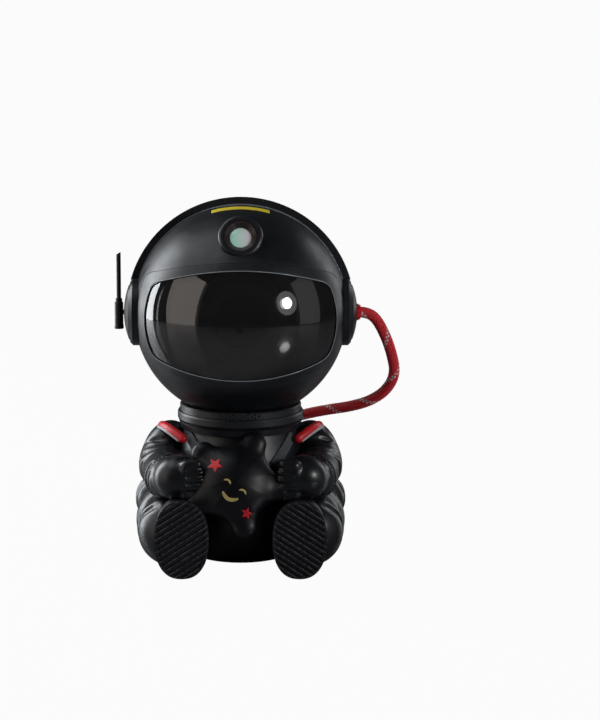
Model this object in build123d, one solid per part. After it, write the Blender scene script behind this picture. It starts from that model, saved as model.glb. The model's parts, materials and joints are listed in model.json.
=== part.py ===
from build123d import *
import os
from math import acos, cos, degrees, hypot, pi, radians, sin, sqrt, tan

# Sitting astronaut night-sky projector. Millimetres, +Z up, the figure faces -Y.
# The origin is the centre of the footprint, on the table. Left and right are the
# figure's own: left is +X, where the tether cord is, and right is -X, where the antenna is.

# ---------------------------------------------------------------- helmet
ball_r = 64.0             # outside of the front and rear shells
shell_wall = 2.2
hood_proud = 5.0          # hood of the rear shell beyond the ball
hood_r = ball_r + hood_proud
hood_front_y = 5.0        # front face of the hood, which hides the seam of the shells
hood_low_z = -18.0        # lower edge of the hood, from the ball's centre
seam_y = 9.0              # plane where the front and rear shells meet
vent_count = 5            # upright slots in the back of the hood
vent_pitch = 6.0
vent_w = 2.2
vent_low_z = -6.0
vent_high_z = 16.0
fit_gap = 0.1             # between fixed pieces that nest in each other
run_gap = 0.3             # between pieces that move past each other

visor_side = 12.5         # from the ball's side to the visor's corners
visor_half_w = ball_r - visor_side
visor_half_h = 22.0
visor_crown = 10.0        # how much the long edges arch beyond the corners
visor_bulge = 5.0         # how much the short edges arch beyond the corners
visor_corner_r = 7.0
visor_frame_w = 4.2       # width of the frame round the window
visor_frame_proud = 0.5
window_wall = 1.6
window_sunk = 0.25        # window face below the ball
window_lip = 2.6          # flange of the window behind the frame

# ---------------------------------------------------------------- laser port
port_proud = 4.1          # centre of the port's face beyond the ball
port_height = 48.6        # degrees above level where the port sits on the ball
port_elevation = 27.0     # degrees that the beam points above level
port_r = 12.9
port_base_r = 14.9
port_recess_r = 9.6
port_recess_depth = 6.0
port_bore_r = 6.0
port_cup_wall = 2.4       # wall round and behind the recess
laser_lens_r = 7.0
laser_lens_wall = 2.2
grating_depth = 15.0      # from the port's face to the front of the grating gear
grating_bore_r = 4.6
film_wall = 0.4
gear_module = 0.6
gear_teeth = 28
pinion_teeth = 12
gear_width = 2.4
pressure_angle = 25.0
gear_backlash = 0.12
laser_r = 5.0
laser_bore_r = 1.6
laser_length = 11.0
laser_motor_r = 4.0
laser_motor_length = 10.0
laser_plate_wall = 2.0
shaft_r = 0.9
shaft_fit = 0.05          # radial running clearance of the small shafts

# ---------------------------------------------------------------- nebula optics
barrel_ring_r = 24.6
barrel_r = 21.5
barrel_bore_r = 18.0
barrel_flange_r = 25.5
barrel_inset = 18.0       # front of the barrel behind the ball's front
barrel_front_y = barrel_inset - ball_r
barrel_ring_length = 5.0
lens_seat_r = 19.6
lens_r = 15.4
lens_rim_wall = 2.5
lens_crown = 3.4
drum_r = 28.0             # round the optical axis and round the wheel's axis
drum_wall = 2.0
drum_front_y = -22.0
chassis_front_y = -7.4
chassis_wall = 2.5
light_bore_r = 10.0
wheel_r = 25.0
wheel_wall = 2.2
wheel_offset = 16.0       # wheel axis below the optical axis
wheel_front_y = -17.5
wheel_hub_r = 3.0
wheel_motor_r = 5.0
wheel_motor_length = 12.0
led_board_w = 26.0
led_board_low_z = -9.5
led_board_high_z = 14.5
board_wall = 1.6
board_gap = 2.4           # between the chassis and the LED board
led_size = 4.5
led_height = 1.6
heat_sink_base = 3.0
heat_sink_fin = 12.0
heat_sink_fins = 7
heat_sink_fin_wall = 1.2
driver_w = 50.0
driver_low_z = 19.0
driver_high_z = 45.0
spacer_length = 6.0
steel_pad_r = 8.5
steel_pad_wall = 1.5

# ---------------------------------------------------------------- ears, antenna
ear_r = 20.0
ear_root = 14.0           # how far the cup starts inside the ball
ear_face_proud = 2.0      # the cup's rim and the top of its dome, beyond the ball
ear_dome_proud = 6.0
ear_root_x = ball_r - ear_root
ear_face_x = ball_r + ear_face_proud
ear_dome_x = ball_r + ear_dome_proud
ear_dome_r = 16.2
ear_wall = 2.0
antenna_barrel_r = 2.6
antenna_gap = 0.4         # between the ear cup and the antenna's barrel
antenna_x = ear_dome_x + antenna_gap + antenna_barrel_r
antenna_low = 10.0        # barrel below and above the swivel
antenna_high = 8.3
antenna_rod_r = 1.35
antenna_rod_top = 36.0
antenna_pin_r = 1.5
antenna_pin_length = 5.0

# ---------------------------------------------------------------- neck
collar_seat_r = 35.2       # bore below the seat ring
collar_lip_wall = 1.4
collar_band_wall = 2.8
collar_lip_r = collar_seat_r + collar_lip_wall
collar_r = collar_seat_r + collar_band_wall
collar_low_z = 79.6
collar_band_low_z = 84.1
collar_band_top_z = 89.8
collar_top_z = 93.9
collar_hole_r = 0.62
collar_hole_pitch = 4.3   # along the ring
collar_hole_rows = 3
collar_hole_columns = 5
seat_ledge = 2.0          # of the collar, inside its bore
seat_width = 4.7
seat_out_r = collar_seat_r - seat_ledge
seat_in_r = seat_out_r - seat_width
seat_low_z = 88.6
seat_top_gap = 0.6        # seat ring below the collar's top
seat_contact_z = 92.5     # where the ball rests on the middle of the seat ring
magnet_r = 10.0
magnet_bore_r = 3.0
magnet_wall = 3.0
cloth_r = collar_seat_r
cloth_wall = 0.5
cloth_half_w = 12.0
microphone_r = 2.6
microphone_length = 3.5
microphone_z = 85.0

# ---------------------------------------------------------------- body
body_wall = 2.4
body_low_z = 3.4
body_low_r = 32.0
body_mid_r = 40.5
body_mid_z = 38.0
body_top_r = 33.5
base_r = 31.0
base_wall = 1.8
pad_r = 24.0
pad_wall = body_low_z - base_wall
screw_x = 25.0
screw_y = 12.0
screw_r = 1.2
screw_head_r = 2.4
screw_head_wall = 1.0
screw_socket_r = 1.1
screw_depth = 8.0         # of the screw holes above the body's lower edge
screw_boss_r = 4.0
screw_boss_height = 10.0
ballast_half_w = 17.0
ballast_front_y = -24.0
ballast_height = 12.0
power_half_w = 10.0
power_front_y = 16.0
power_depth = 13.0

pack_half_w = 23.0
pack_low_z = 36.0
pack_top_z = 90.6
pack_back_y = 53.5
pack_front_y = 30.0
pack_wall = 2.2
pack_corner_r = 8.0
button_r = 4.2
button_proud = 1.4
button_travel = 0.8
button_flange = 1.3
button_flange_wall = 1.0
button_pitch_x = 17.0
button_pitch_z = 15.0
button_mid_z = 66.0
button_names = ("power", "mode", "dimmer", "timer")
switch_side = 6.0
switch_height = 3.4
stem_r = 1.6
stem_length = 1.8
switch_rise = 4.4         # from the board to the plunger's tip at rest
pack_post_x = 17.0
pack_post_z = 18.0
pack_board_wall = 1.6
usb_w = 9.0
usb_h = 4.4
usb_depth = 9.0
usb_overhang = 5.6        # socket beyond the rear edge of its board
usb_z = 14.0
power_low_z = usb_z - usb_h / 2 - board_wall

# ---------------------------------------------------------------- limbs
arm_puffs = (((42.5, 3.0, 68.5), 12.5),
             ((45.8, 2.0, 63.5), 13.2),
             ((46.3, 0.0, 56.5), 15.0),
             ((46.5, -17.0, 54.0), 14.4))
cuff_centre = (43.5, -31.0, 54.2)
cuff_r = 12.2
cuff_bead_r = 3.0
cuff_turn = 18.0          # degrees that the cuff's axis turns inwards from -Y
palm_centre = (37.5, -43.5, 57.0)
palm_r = 13.2
finger_r = 3.5
finger_pitch = 6.4
finger_count = 4
finger_low_z = 48.0
finger_root_x = 35.0
finger_tip_x = 26.0
finger_y = -53.0
leg_puffs = (((40.5, -33.0, 22.5), 21.5),
             ((40.0, -12.0, 24.6), 24.0),
             ((48.0, 9.0, 32.0), 16.5))
sole_x = 34.4
sole_w = 31.6
sole_h = 46.6
sole_y = -60.5
sole_wall = 4.0
boot_length = 16.0
boot_flare = 0.7          # how much wider the boot is at its back
boot_inset = 0.9          # boot inside the sole's edge
boot_lift = 0.4           # boot above the table
tread_pitch = 3.1
tread_width = 1.5
tread_depth = 1.1
tread_angle = 33.0
tread_rim = 1.6

# ---------------------------------------------------------------- star cushion
star_centre = (-2.8, -50.0, 55.0)
star_tip_r = 41.0         # before the tips are rounded
star_notch_r = 19.3
star_tip_round = 5.5
star_notch_round = 7.0
star_half = 5.5
star_taper = 38.0
star_puff = (19.0, 19.0, 9.5)
star_lean = 22.0          # degrees that it leans back
star_turn = 25.0          # degrees clockwise from upright

# ---------------------------------------------------------------- straps
strap_r = 2.7
strap_path = ((47.0, 12.0, 74.6), (46.5, -3.0, 79.6), (34.5, -20.0, 75.2))
piping_r = 1.1
harness_w = 9.0
harness_wall = 1.2
harness_top_x = 21.5
harness_low_x = 31.5
harness_low_z = 58.0

# ---------------------------------------------------------------- tether cord
cord_r = 3.4
gland_r = 5.0
gland_tip_r = 4.4
gland_proud = 8.0         # the upper gland's rounded end beyond the ball
gland_end = ball_r + gland_proud
gland_flange = 0.7
cord_start_gap = 1.5      # from the gland's end to the slanting end of the cord
cord_points = ((gland_end + cord_start_gap, 0.0, 148.6), (81.5, 0.6, 144.9), (87.5, 2.0, 133.6),
               (91.5, 4.0, 122.1), (94.0, 6.5, 110.1), (89.5, 11.0, 99.1), (80.0, 16.5, 91.1),
               (68.0, 23.0, 86.2), (55.0, 30.0, 82.9), (42.0, 36.0, 79.2), (31.0, 40.5, 75.2))
low_gland_length = 9.0

# ---------------------------------------------------------------- shared places
seat_mid_r = (seat_in_r + seat_out_r) / 2
head_z = seat_contact_z + sqrt(ball_r ** 2 - seat_mid_r ** 2)
head = Vector(0, 0, head_z)
beam = Vector(0, -cos(radians(port_elevation)), sin(radians(port_elevation)))
port_way = Vector(0, -cos(radians(port_height)), sin(radians(port_height)))
port_face = head + port_way * (ball_r + port_proud)
inner_r = ball_r - shell_wall
laser_rear = grating_depth + gear_width + run_gap + laser_length
cord_end = Vector(*cord_points[-1])
cord_out = (cord_end - Vector(*cord_points[-2])).normalized()
pack_board_y = pack_back_y - pack_wall - button_flange_wall - stem_length - button_travel - switch_rise
stem_tip_y = pack_back_y - pack_wall - button_flange_wall - stem_length
gear_pitch_r = gear_module * gear_teeth / 2
pinion_pitch_r = gear_module * pinion_teeth / 2
gear_centres = gear_pitch_r + pinion_pitch_r
big = 400.0


def ball(radius):
    """A ball about the helmet's centre, its poles to the front and the back."""
    return Pos(head) * Rot(-90, 0, 0) * Rot(0, 0, 55) * Sphere(radius)


def slab(low, high):
    """A box between two corners, given from the helmet's centre."""
    size = [b - a for a, b in zip(low, high)]
    middle = [(a + b) / 2 for a, b in zip(low, high)]
    return Pos(head + Vector(*middle)) * Box(*size)


def block(low, high):
    """A box between two corners of the part's frame."""
    size = [b - a for a, b in zip(low, high)]
    middle = [(a + b) / 2 for a, b in zip(low, high)]
    return Pos(*middle) * Box(*size)


def turned(outline, origin, direction):
    """A solid of revolution: outline is (radius, distance along the axis) pairs."""
    face = make_face(Plane.XZ * Polyline(*outline, close=True))
    return Plane(origin=origin, z_dir=direction) * revolve(face, Axis.Z, 360)


def rod(start, end, radius):
    """A round bar between two points."""
    run = Vector(*end) - Vector(*start)
    return turned(((0, 0), (radius, 0), (radius, run.length), (0, run.length)), Vector(*start), run)


def capsule(start, end, radius):
    """A bar with ball ends."""
    run = Vector(*end) - Vector(*start)
    length = run.length
    bend = radius * sin(pi / 4)
    near = ThreePointArc((0, -radius), (bend, -bend), (radius, 0))
    far = ThreePointArc((radius, length), (bend, length + bend), (0, length + radius))
    face = make_face([near, Line(near @ 1, far @ 0), far, Line(far @ 1, near @ 0)])
    return Plane(origin=Vector(*start), z_dir=run) * revolve(Plane.XZ * face, Axis.Z, 360)


def puff(centre, radius):
    """A ball, the plain form of a padded bulge."""
    return Pos(*centre) * Sphere(radius)


def one(shape):
    """The shape's solid, or its solids as one compound."""
    found = shape.solids()
    return found[0] if len(found) == 1 else Compound(children=list(found))


def largest(shape):
    """The largest of the shape's solids, without crumbs that a cut leaves."""
    return max(shape.solids(), key=lambda solid: solid.volume)


def fused(pieces):
    """The pieces joined into one solid."""
    whole = pieces[0]
    for piece in pieces[1:]:
        whole += piece
    return whole


def mirrored(shape):
    """The same piece for the figure's right side."""
    return mirror(shape, about=Plane.YZ)


# ---------------------------------------------------------------- helmet shells
def visor_outline(grow):
    """The visor's rounded barrel outline in X and Z, grown outwards by grow."""
    w = visor_half_w + grow
    h = visor_half_h + grow
    top = ThreePointArc((-w, h), (0, h + visor_crown), (w, h))
    left = ThreePointArc((w, h), (w + visor_bulge, 0), (w, -h))
    low = ThreePointArc((w, -h), (0, -h - visor_crown), (-w, -h))
    right = ThreePointArc((-w, -h), (-w - visor_bulge, 0), (-w, h))
    face = make_face([top, left, low, right])
    return fillet(face.vertices(), visor_corner_r + grow)


def visor_prism(grow):
    """The outline carried forwards from the helmet's centre plane."""
    sketch = Plane(origin=head, x_dir=(1, 0, 0), z_dir=(0, -1, 0)) * visor_outline(grow)
    return extrude(sketch, amount=hood_r + 5)


def port_boss():
    """The raised collar of the laser port, before its recess is cut."""
    edge = 1.5
    return turned(((0, 0), (port_r - edge, 0), (port_r - edge / 3, edge / 3), (port_r, edge),
                   (port_r, 6.0), (port_base_r, 11.0), (port_base_r + 2, 15.0), (0, 15.0)),
                  port_face, -beam)


def helmet_front_shell():
    cup = rod(port_face + beam, port_face - beam * (port_recess_depth + port_cup_wall),
              port_recess_r + port_cup_wall)
    shell = ball(ball_r) + port_boss()
    shell -= ball(inner_r) - cup
    shell &= slab((-big, -big, -big), (big, seam_y - fit_gap / 2, big))
    shell -= visor_prism(visor_frame_w + fit_gap)
    shell -= rod(port_face + beam, port_face - beam * port_recess_depth, port_recess_r)
    shell -= rod(port_face, port_face - beam * 30, port_bore_r)
    return one(shell)


def beyond(solid, front, low):
    """What of a solid lies behind the plane Y = front and above Z = low, from the centre."""
    return solid - slab((-big, -big, -big), (big, front, big)) - slab((-big, -big, -big), (big, big, low))


def helmet_rear_shell():
    """The rear half ball with the hood, a hollow step that runs over the front shell's edge."""
    hood = beyond(ball(hood_r), hood_front_y, hood_low_z)
    hood -= beyond(ball(hood_r - shell_wall), hood_front_y + shell_wall, hood_low_z + shell_wall)
    hood -= ball(ball_r + fit_gap) - slab((-big, seam_y + fit_gap / 2, -big), (big, big, big))
    for side in (-1, 1):
        out = Vector(side, 0, 0)
        hood -= rod(head + out * ear_root_x, head + out * big, ear_r + fit_gap)
    rear_ball = ball(ball_r) - slab((-big, -big, -big), (big, seam_y + fit_gap / 2, big))
    shell = fused([hood, rear_ball]) - ball(inner_r)
    for i in range(vent_count):
        x = (i - (vent_count - 1) / 2) * vent_pitch
        shell -= slab((x - vent_w / 2, 40, vent_low_z), (x + vent_w / 2, 90, vent_high_z))
    return one(shell)


def visor_frame():
    """The frame round the window, a little proud of the ball."""
    ring = visor_prism(visor_frame_w) - visor_prism(0)
    return one((ball(ball_r + visor_frame_proud) - ball(inner_r)) & ring)


def visor_window():
    """The smoked window: a plug in the frame and a lip behind it."""
    inside = ball(inner_r - fit_gap - window_wall)
    plug = (ball(ball_r - window_sunk) - inside) & visor_prism(-fit_gap)
    lip = (ball(inner_r - fit_gap) - inside) & visor_prism(window_lip)
    return one(plug + lip)


# ---------------------------------------------------------------- ears
def dome_bend():
    """Radius of the ear cap's domed face."""
    height = ear_dome_x - ear_face_x - 1.0
    return (ear_dome_r ** 2 + height ** 2) / (2 * height)


def dome_height_at(radius):
    """Where the dome's face is, out from the helmet's centre, at a radius about the ear's axis."""
    return ear_dome_x - dome_bend() + sqrt(dome_bend() ** 2 - radius ** 2)


def ear_cup(side):
    """A stepped cup with a domed cap on the side of the helmet."""
    out = Vector(side, 0, 0)
    rise = ear_face_x + 1.0
    half = ear_dome_r / 2
    dome = ThreePointArc((ear_dome_r, rise), (half, dome_height_at(half)), (0, ear_dome_x))
    edge = Polyline((0, ear_root_x), (ear_r, ear_root_x), (ear_r, ear_face_x - 1.6),
                    (ear_r - 1.6, ear_face_x), (ear_dome_r + 1, ear_face_x), dome @ 0)
    face = make_face([edge, dome, Line(dome @ 1, edge @ 0)])
    cup = Plane(origin=head, z_dir=out) * revolve(Plane.XZ * face, Axis.Z, 360)
    cup -= ball(ball_r + fit_gap)
    room = rod(head + out * ear_root_x, head + out * (ear_face_x - ear_wall), ear_r - ear_wall)
    cup -= room - rod(head + out * ear_root_x, head + out * big, gland_r)
    if side < 0:
        cup -= rod(head + out * (antenna_x - antenna_barrel_r - antenna_pin_length), head + out * big,
                   antenna_pin_r + shaft_fit)
    return one(cup)


def antenna_base():
    """The swivelling barrel and its pin, which turns in the ear cup."""
    foot = head + Vector(-antenna_x, 0, -antenna_low)
    full = antenna_low + antenna_high
    barrel = turned(((0, 0), (antenna_barrel_r, 0), (antenna_barrel_r + 0.3, 0.8),
                     (antenna_barrel_r, 3.0), (antenna_barrel_r, full - 2.4),
                     (antenna_barrel_r - 0.6, full - 2.0), (antenna_barrel_r - 0.6, full),
                     (0, full)), foot, (0, 0, 1))
    barrel -= rod(foot + Vector(0, 0, full - 4), foot + Vector(0, 0, full + 1), antenna_rod_r)
    near = head + Vector(-antenna_x, 0, 0)
    pin = rod(near, near + Vector(antenna_barrel_r + antenna_pin_length - 0.4, 0, 0), antenna_pin_r)
    return one(barrel + (pin - rod(foot, foot + Vector(0, 0, full), antenna_rod_r)))


def antenna_rod():
    """The thin whip, cut at a slant at its tip."""
    foot = head + Vector(-antenna_x, 0, antenna_high - 4)
    tip = head + Vector(-antenna_x, 0, antenna_rod_top)
    whip = rod(foot, tip, antenna_rod_r)
    cut = Pos(tip + Vector(-antenna_rod_r, 0, 0)) * Rot(0, -32, 0) * Box(12, 12, 2.4)
    return one(whip - cut)


# ---------------------------------------------------------------- laser port
def laser_bezel():
    """The cone in the port's recess that frames the lens."""
    depth = port_recess_depth - laser_lens_wall
    return one(turned(((port_recess_r - fit_gap, 0.5), (port_recess_r - fit_gap, depth),
                       (laser_lens_r - 0.9, depth), (laser_lens_r - 0.9, depth - 0.6),
                       (port_recess_r - 0.8, 0.5)), port_face, -beam))


def laser_lens():
    """A disc with a shallow domed face, clamped under the bezel."""
    back = port_face - beam * port_recess_depth
    crown = 0.9
    bend = ((laser_lens_r - 1) ** 2 + crown ** 2) / (2 * crown)
    disc = rod(back, back + beam * laser_lens_wall, port_recess_r - fit_gap)
    dome = Pos(back + beam * (laser_lens_wall + crown - bend)) * Sphere(bend)
    dome &= rod(back + beam, back + beam * 9, laser_lens_r - 1)
    return one(disc + dome)


def gear(teeth, thickness, bore):
    """A spur gear with involute flanks about Z, its first tooth on +X."""
    pitch = gear_module * teeth / 2
    base = pitch * cos(radians(pressure_angle))
    tip = pitch + gear_module
    root = pitch - 1.25 * gear_module
    lean = tan(radians(pressure_angle)) - radians(pressure_angle)
    half = pi / (2 * teeth) - gear_backlash / (4 * pitch) + lean

    def flank(radius):
        turn = acos(min(1.0, base / radius))
        return half - (tan(turn) - turn)

    start = max(base, root)
    radii = [start + (tip - start) * i / 3 for i in range(4)]
    tooth = [(root - 0.3, flank(start))] + [(r, flank(r)) for r in radii]
    tooth += [(r, -a) for r, a in reversed(tooth)]
    outline = make_face(Polyline(*[(r * cos(a), r * sin(a)) for r, a in tooth], close=True))
    blank = Circle(root)
    for i in range(teeth):
        blank += Rot(0, 0, 360 / teeth * i) * outline
    return extrude(blank - Circle(bore), amount=thickness)


def grating_plane(depth, x):
    """A plane across the beam, depth behind the port's face and x from the beam."""
    return Plane(origin=port_face - beam * depth + Vector(x, 0, 0), x_dir=(1, 0, 0), z_dir=-beam)


def grating_gear():
    """The ring gear that carries the diffraction grating in front of the laser."""
    ring = gear(gear_teeth, gear_width, grating_bore_r)
    film = Pos(0, 0, film_wall) * Cylinder(grating_bore_r + 0.1, film_wall)
    return one(grating_plane(grating_depth, 0) * (ring + film))


def grating_pinion():
    """The pinion on its motor shaft, a gap between two teeth turned to the gear."""
    spin = 180 / pinion_teeth
    body = Rot(0, 0, 180 + spin) * gear(pinion_teeth, gear_width, shaft_r - 0.2)
    reach = laser_rear - laser_motor_length / 2 - grating_depth
    shaft = Pos(0, 0, reach / 2) * Cylinder(shaft_r, reach)
    return one(grating_plane(grating_depth, gear_centres) * (body + shaft))


def laser_module():
    """The laser's brass barrel; its nose carries the grating gear."""
    front = laser_rear - laser_length
    nose_front = grating_depth + 1.5 * film_wall + run_gap
    tube = rod(port_face - beam * front, port_face - beam * laser_rear, laser_r)
    tube += rod(port_face - beam * nose_front, port_face - beam * (front + 1), grating_bore_r - shaft_fit)
    tube -= rod(port_face - beam * (nose_front - 1), port_face - beam * (front + 4), laser_bore_r)
    return one(tube)


def laser_motor():
    """The small geared motor beside the laser."""
    near = port_face + Vector(gear_centres, 0, 0)
    front = laser_rear - laser_motor_length
    can = rod(near - beam * front, near - beam * laser_rear, laser_motor_r)
    can -= rod(near - beam * (front - 1), near - beam * (laser_rear - 1), shaft_r + shaft_fit)
    return one(can)


def laser_bracket():
    """The plate behind the laser and its motor, with an arm back to the chassis."""
    plate = Plane(origin=port_face - beam * laser_rear + Vector(gear_centres / 2, 0, 0),
                  x_dir=(1, 0, 0), z_dir=-beam)
    width = gear_centres + 2 * laser_r + 4
    back = plate * (Pos(0, 0, laser_plate_wall / 2) * Box(width, 2 * laser_r + 4, laser_plate_wall))
    middle = port_face - head - beam * (laser_rear + laser_plate_wall / 2)
    half = 1.5
    arm = slab((gear_centres / 2 - width / 2, middle.Y, middle.Z - half),
               (gear_centres / 2 + width / 2, chassis_front_y, middle.Z + half))
    return one(back + arm)


# ---------------------------------------------------------------- nebula optics
def optic(outline, x=0.0, z=0.0):
    """A turned piece on an axis along Y: outline is (radius, Y) pairs from the helmet's centre."""
    return turned(outline, head + Vector(x, 0, z), (0, 1, 0))


def drum_outline(grow):
    """Two circles and what lies between them: the beam's and the wheel's."""
    slot = SlotCenterToCenter(wheel_offset, 2 * (drum_r + grow))
    plane = Plane(origin=head + Vector(0, 0, -wheel_offset / 2), x_dir=(0, 0, 1), z_dir=(0, -1, 0))
    return plane * slot


def chassis_plate():
    """The round plate that carries the optics, seated in the front shell."""
    rear = chassis_front_y + chassis_wall
    plate = optic(((0, chassis_front_y), (ball_r, chassis_front_y), (ball_r, rear), (0, rear)))
    plate &= ball(inner_r - fit_gap)
    plate -= optic(((0, -20), (light_bore_r, -20), (light_bore_r, 0), (0, 0)))
    plate -= optic(((0, -20), (shaft_r + 1, -20), (shaft_r + 1, 0), (0, 0)), z=-wheel_offset)
    plate -= rod(head + Vector(0, 0, -ball_r), head + Vector(0, 0, -ball_r + 8), steel_pad_r + fit_gap)
    for x in (-led_board_w / 2 + 2.5, led_board_w / 2 - 2.5):
        for z in (led_board_low_z + 2.5, led_board_high_z - 2.5):
            plate += chassis_post(x, z, 1.8, board_gap)
    for x in (-driver_w / 2 + 4, driver_w / 2 - 4):
        for z in (driver_low_z + 4, driver_high_z - 4):
            plate += chassis_post(x, z, 2.2, spacer_length)
    return one(plate)


def chassis_post(x, z, radius, length):
    """A pillar on the back of the chassis plate."""
    rear = chassis_front_y + chassis_wall
    return rod(head + Vector(x, rear - 1, z), head + Vector(x, rear + length, z), radius)


def chassis_drum():
    """The housing round the nebula wheel, which holds the lens barrel in front."""
    depth = chassis_front_y - drum_front_y
    outer = extrude(drum_outline(0), amount=-drum_front_y) - extrude(drum_outline(5), amount=-chassis_front_y)
    room = extrude(drum_outline(-drum_wall), amount=-drum_front_y - drum_wall)
    drum = outer - room
    drum -= optic(((0, -big), (barrel_bore_r, -big), (barrel_bore_r, -depth), (0, -depth)))
    return one(drum)


def lens_barrel():
    """The stepped barrel of the nebula lens."""
    back = drum_front_y
    seat = barrel_front_y + barrel_ring_length + 3.0
    return one(optic(((barrel_bore_r, back), (barrel_flange_r, back), (barrel_flange_r, back - 2),
                      (barrel_r, back - 2), (barrel_r, barrel_front_y + barrel_ring_length),
                      (barrel_ring_r - 0.8, barrel_front_y + barrel_ring_length),
                      (barrel_ring_r, barrel_front_y + barrel_ring_length - 0.8),
                      (barrel_ring_r, barrel_front_y + 0.8), (barrel_ring_r - 0.8, barrel_front_y),
                      (lens_seat_r + 0.6, barrel_front_y), (lens_seat_r, barrel_front_y + 0.6),
                      (lens_seat_r, seat), (lens_r, seat), (lens_r, seat + 1.5),
                      (barrel_bore_r, seat + 3.5))))


def projector_lens():
    """The thick front lens, a flat rim with a domed middle."""
    seat = barrel_front_y + barrel_ring_length + 3.0
    bend = (lens_r ** 2 + lens_crown ** 2) / (2 * lens_crown)
    rim = seat - lens_rim_wall
    disc = optic(((0, rim), (lens_seat_r - fit_gap, rim), (lens_seat_r - fit_gap, seat), (0, seat)))
    dome = Pos(head + Vector(0, rim - lens_crown + bend, 0)) * Sphere(bend)
    dome &= optic(((0, -60), (lens_r, -60), (lens_r, rim + 1), (0, rim + 1)))
    return one(disc + dome)


def lens_ring():
    """The threaded ring that clamps the lens, bevelled inside."""
    seat = barrel_front_y + barrel_ring_length + 3.0
    rim = seat - lens_rim_wall
    front = barrel_front_y + 0.8
    return one(optic(((lens_r + 0.1, rim), (lens_seat_r - fit_gap, rim), (lens_seat_r - fit_gap, front),
                      (lens_seat_r - 1.4, front), (lens_r + 0.1, rim - 1.6))))


def nebula_wheel():
    """The rippled glass disc on its hub and shaft."""
    back = wheel_front_y + wheel_wall
    tip = chassis_front_y + chassis_wall + wheel_motor_length - 2
    outline = [(0, wheel_front_y - 1), (wheel_hub_r, wheel_front_y - 1), (wheel_hub_r, wheel_front_y)]
    ripples = 5
    step = (wheel_r - wheel_hub_r) / (2 * ripples)
    for i in range(1, 2 * ripples):
        outline.append((wheel_hub_r + step * i, wheel_front_y + (0.5 if i % 2 else 0)))
    outline += [(wheel_r, wheel_front_y), (wheel_r, back), (wheel_hub_r, back),
                (wheel_hub_r, chassis_front_y - 1), (shaft_r, chassis_front_y - 1), (shaft_r, tip),
                (0, tip)]
    return one(optic(tuple(outline), z=-wheel_offset))


def wheel_motor():
    front = chassis_front_y + chassis_wall
    back = front + wheel_motor_length
    bore = shaft_r + shaft_fit
    return one(optic(((bore, front), (wheel_motor_r, front), (wheel_motor_r, back), (0, back),
                      (0, back - 1), (bore, back - 1)), z=-wheel_offset))


def led_board():
    """The lamp board with four square lamps round the optical axis."""
    front = chassis_front_y + chassis_wall + board_gap
    board = slab((-led_board_w / 2, front, led_board_low_z),
                 (led_board_w / 2, front + board_wall, led_board_high_z))
    half = led_size / 2
    shift = led_size * 0.6
    for x in (-shift, shift):
        for z in (-shift, shift):
            board += slab((x - half, front - led_height, z - half), (x + half, front + 0.2, z + half))
    return one(board)


def heat_sink():
    """A base with upright fins behind the LED board."""
    front = chassis_front_y + chassis_wall + board_gap + board_wall
    low, high = led_board_low_z, led_board_high_z
    half = led_board_w / 2
    sink = slab((-half, front, low), (half, front + heat_sink_base, high))
    pitch = (led_board_w - heat_sink_fin_wall) / (heat_sink_fins - 1)
    for i in range(heat_sink_fins):
        x = -half + pitch * i
        sink += slab((x, front + 1, low), (x + heat_sink_fin_wall, front + heat_sink_base + heat_sink_fin,
                                           high))
    return one(sink)


def driver_board():
    front = chassis_front_y + chassis_wall + spacer_length
    return slab((-driver_w / 2, front, driver_low_z), (driver_w / 2, front + board_wall, driver_high_z))


def steel_pad():
    """The curved steel pad low in the helmet that the magnet holds."""
    skin = ball(inner_r) - ball(inner_r - steel_pad_wall)
    return one(skin & rod(head + Vector(0, 0, -80), head, steel_pad_r))


# ---------------------------------------------------------------- neck
def neck_collar():
    """The ring round the neck: a lower band, a wide band and a narrow pierced lip."""
    outline = ((collar_seat_r, collar_low_z), (collar_r - 1.6, collar_low_z),
               (collar_r - 0.8, collar_band_low_z - 0.9), (collar_r - 1.4, collar_band_low_z - 0.4),
               (collar_r - 0.5, collar_band_low_z), (collar_r, collar_band_low_z + 1.2),
               (collar_r, collar_band_top_z - 1.2), (collar_r - 0.5, collar_band_top_z - 0.3),
               (collar_lip_r, collar_band_top_z), (collar_lip_r, collar_top_z - 0.6),
               (collar_lip_r - 0.6, collar_top_z), (seat_out_r + run_gap, collar_top_z),
               (seat_out_r + run_gap, seat_low_z), (collar_seat_r, seat_low_z))
    ring = turned(outline, (0, 0, 0), (0, 0, 1))
    ring -= ball(ball_r + run_gap)
    turn = degrees(collar_hole_pitch / collar_lip_r)
    rows = (collar_top_z - collar_band_top_z) / (collar_hole_rows + 1)
    for row in range(collar_hole_rows):
        z = collar_band_top_z + rows * (row + 1)
        for column in range(collar_hole_columns):
            angle = (column - (collar_hole_columns - 1) / 2 + (0.5 if row % 2 else 0)) * turn
            drill = rod((0, -collar_r - 1, z), (0, -cloth_r, z), collar_hole_r)
            ring -= Rot(0, 0, angle) * drill
    ring -= cloth_strip(fit_gap / 2)
    return one(ring)


def cloth_strip(grow):
    """A short curved strip behind the collar's holes."""
    low = collar_band_top_z - 0.2 - grow
    strip = turned(((cloth_r - cloth_wall - grow, low), (cloth_r + grow, low),
                    (cloth_r + grow, collar_top_z - 0.4 + grow),
                    (cloth_r - cloth_wall - grow, collar_top_z - 0.4 + grow)), (0, 0, 0), (0, 0, 1))
    half = cloth_half_w + grow
    wedge = block((-half, -collar_r, low - 1), (half, 0, collar_top_z + 1))
    return (strip & wedge) - ball(ball_r + run_gap)


def microphone():
    return one(rod((0, -collar_seat_r + fit_gap, microphone_z),
                   (0, -collar_seat_r + microphone_length, microphone_z), microphone_r))


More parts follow.
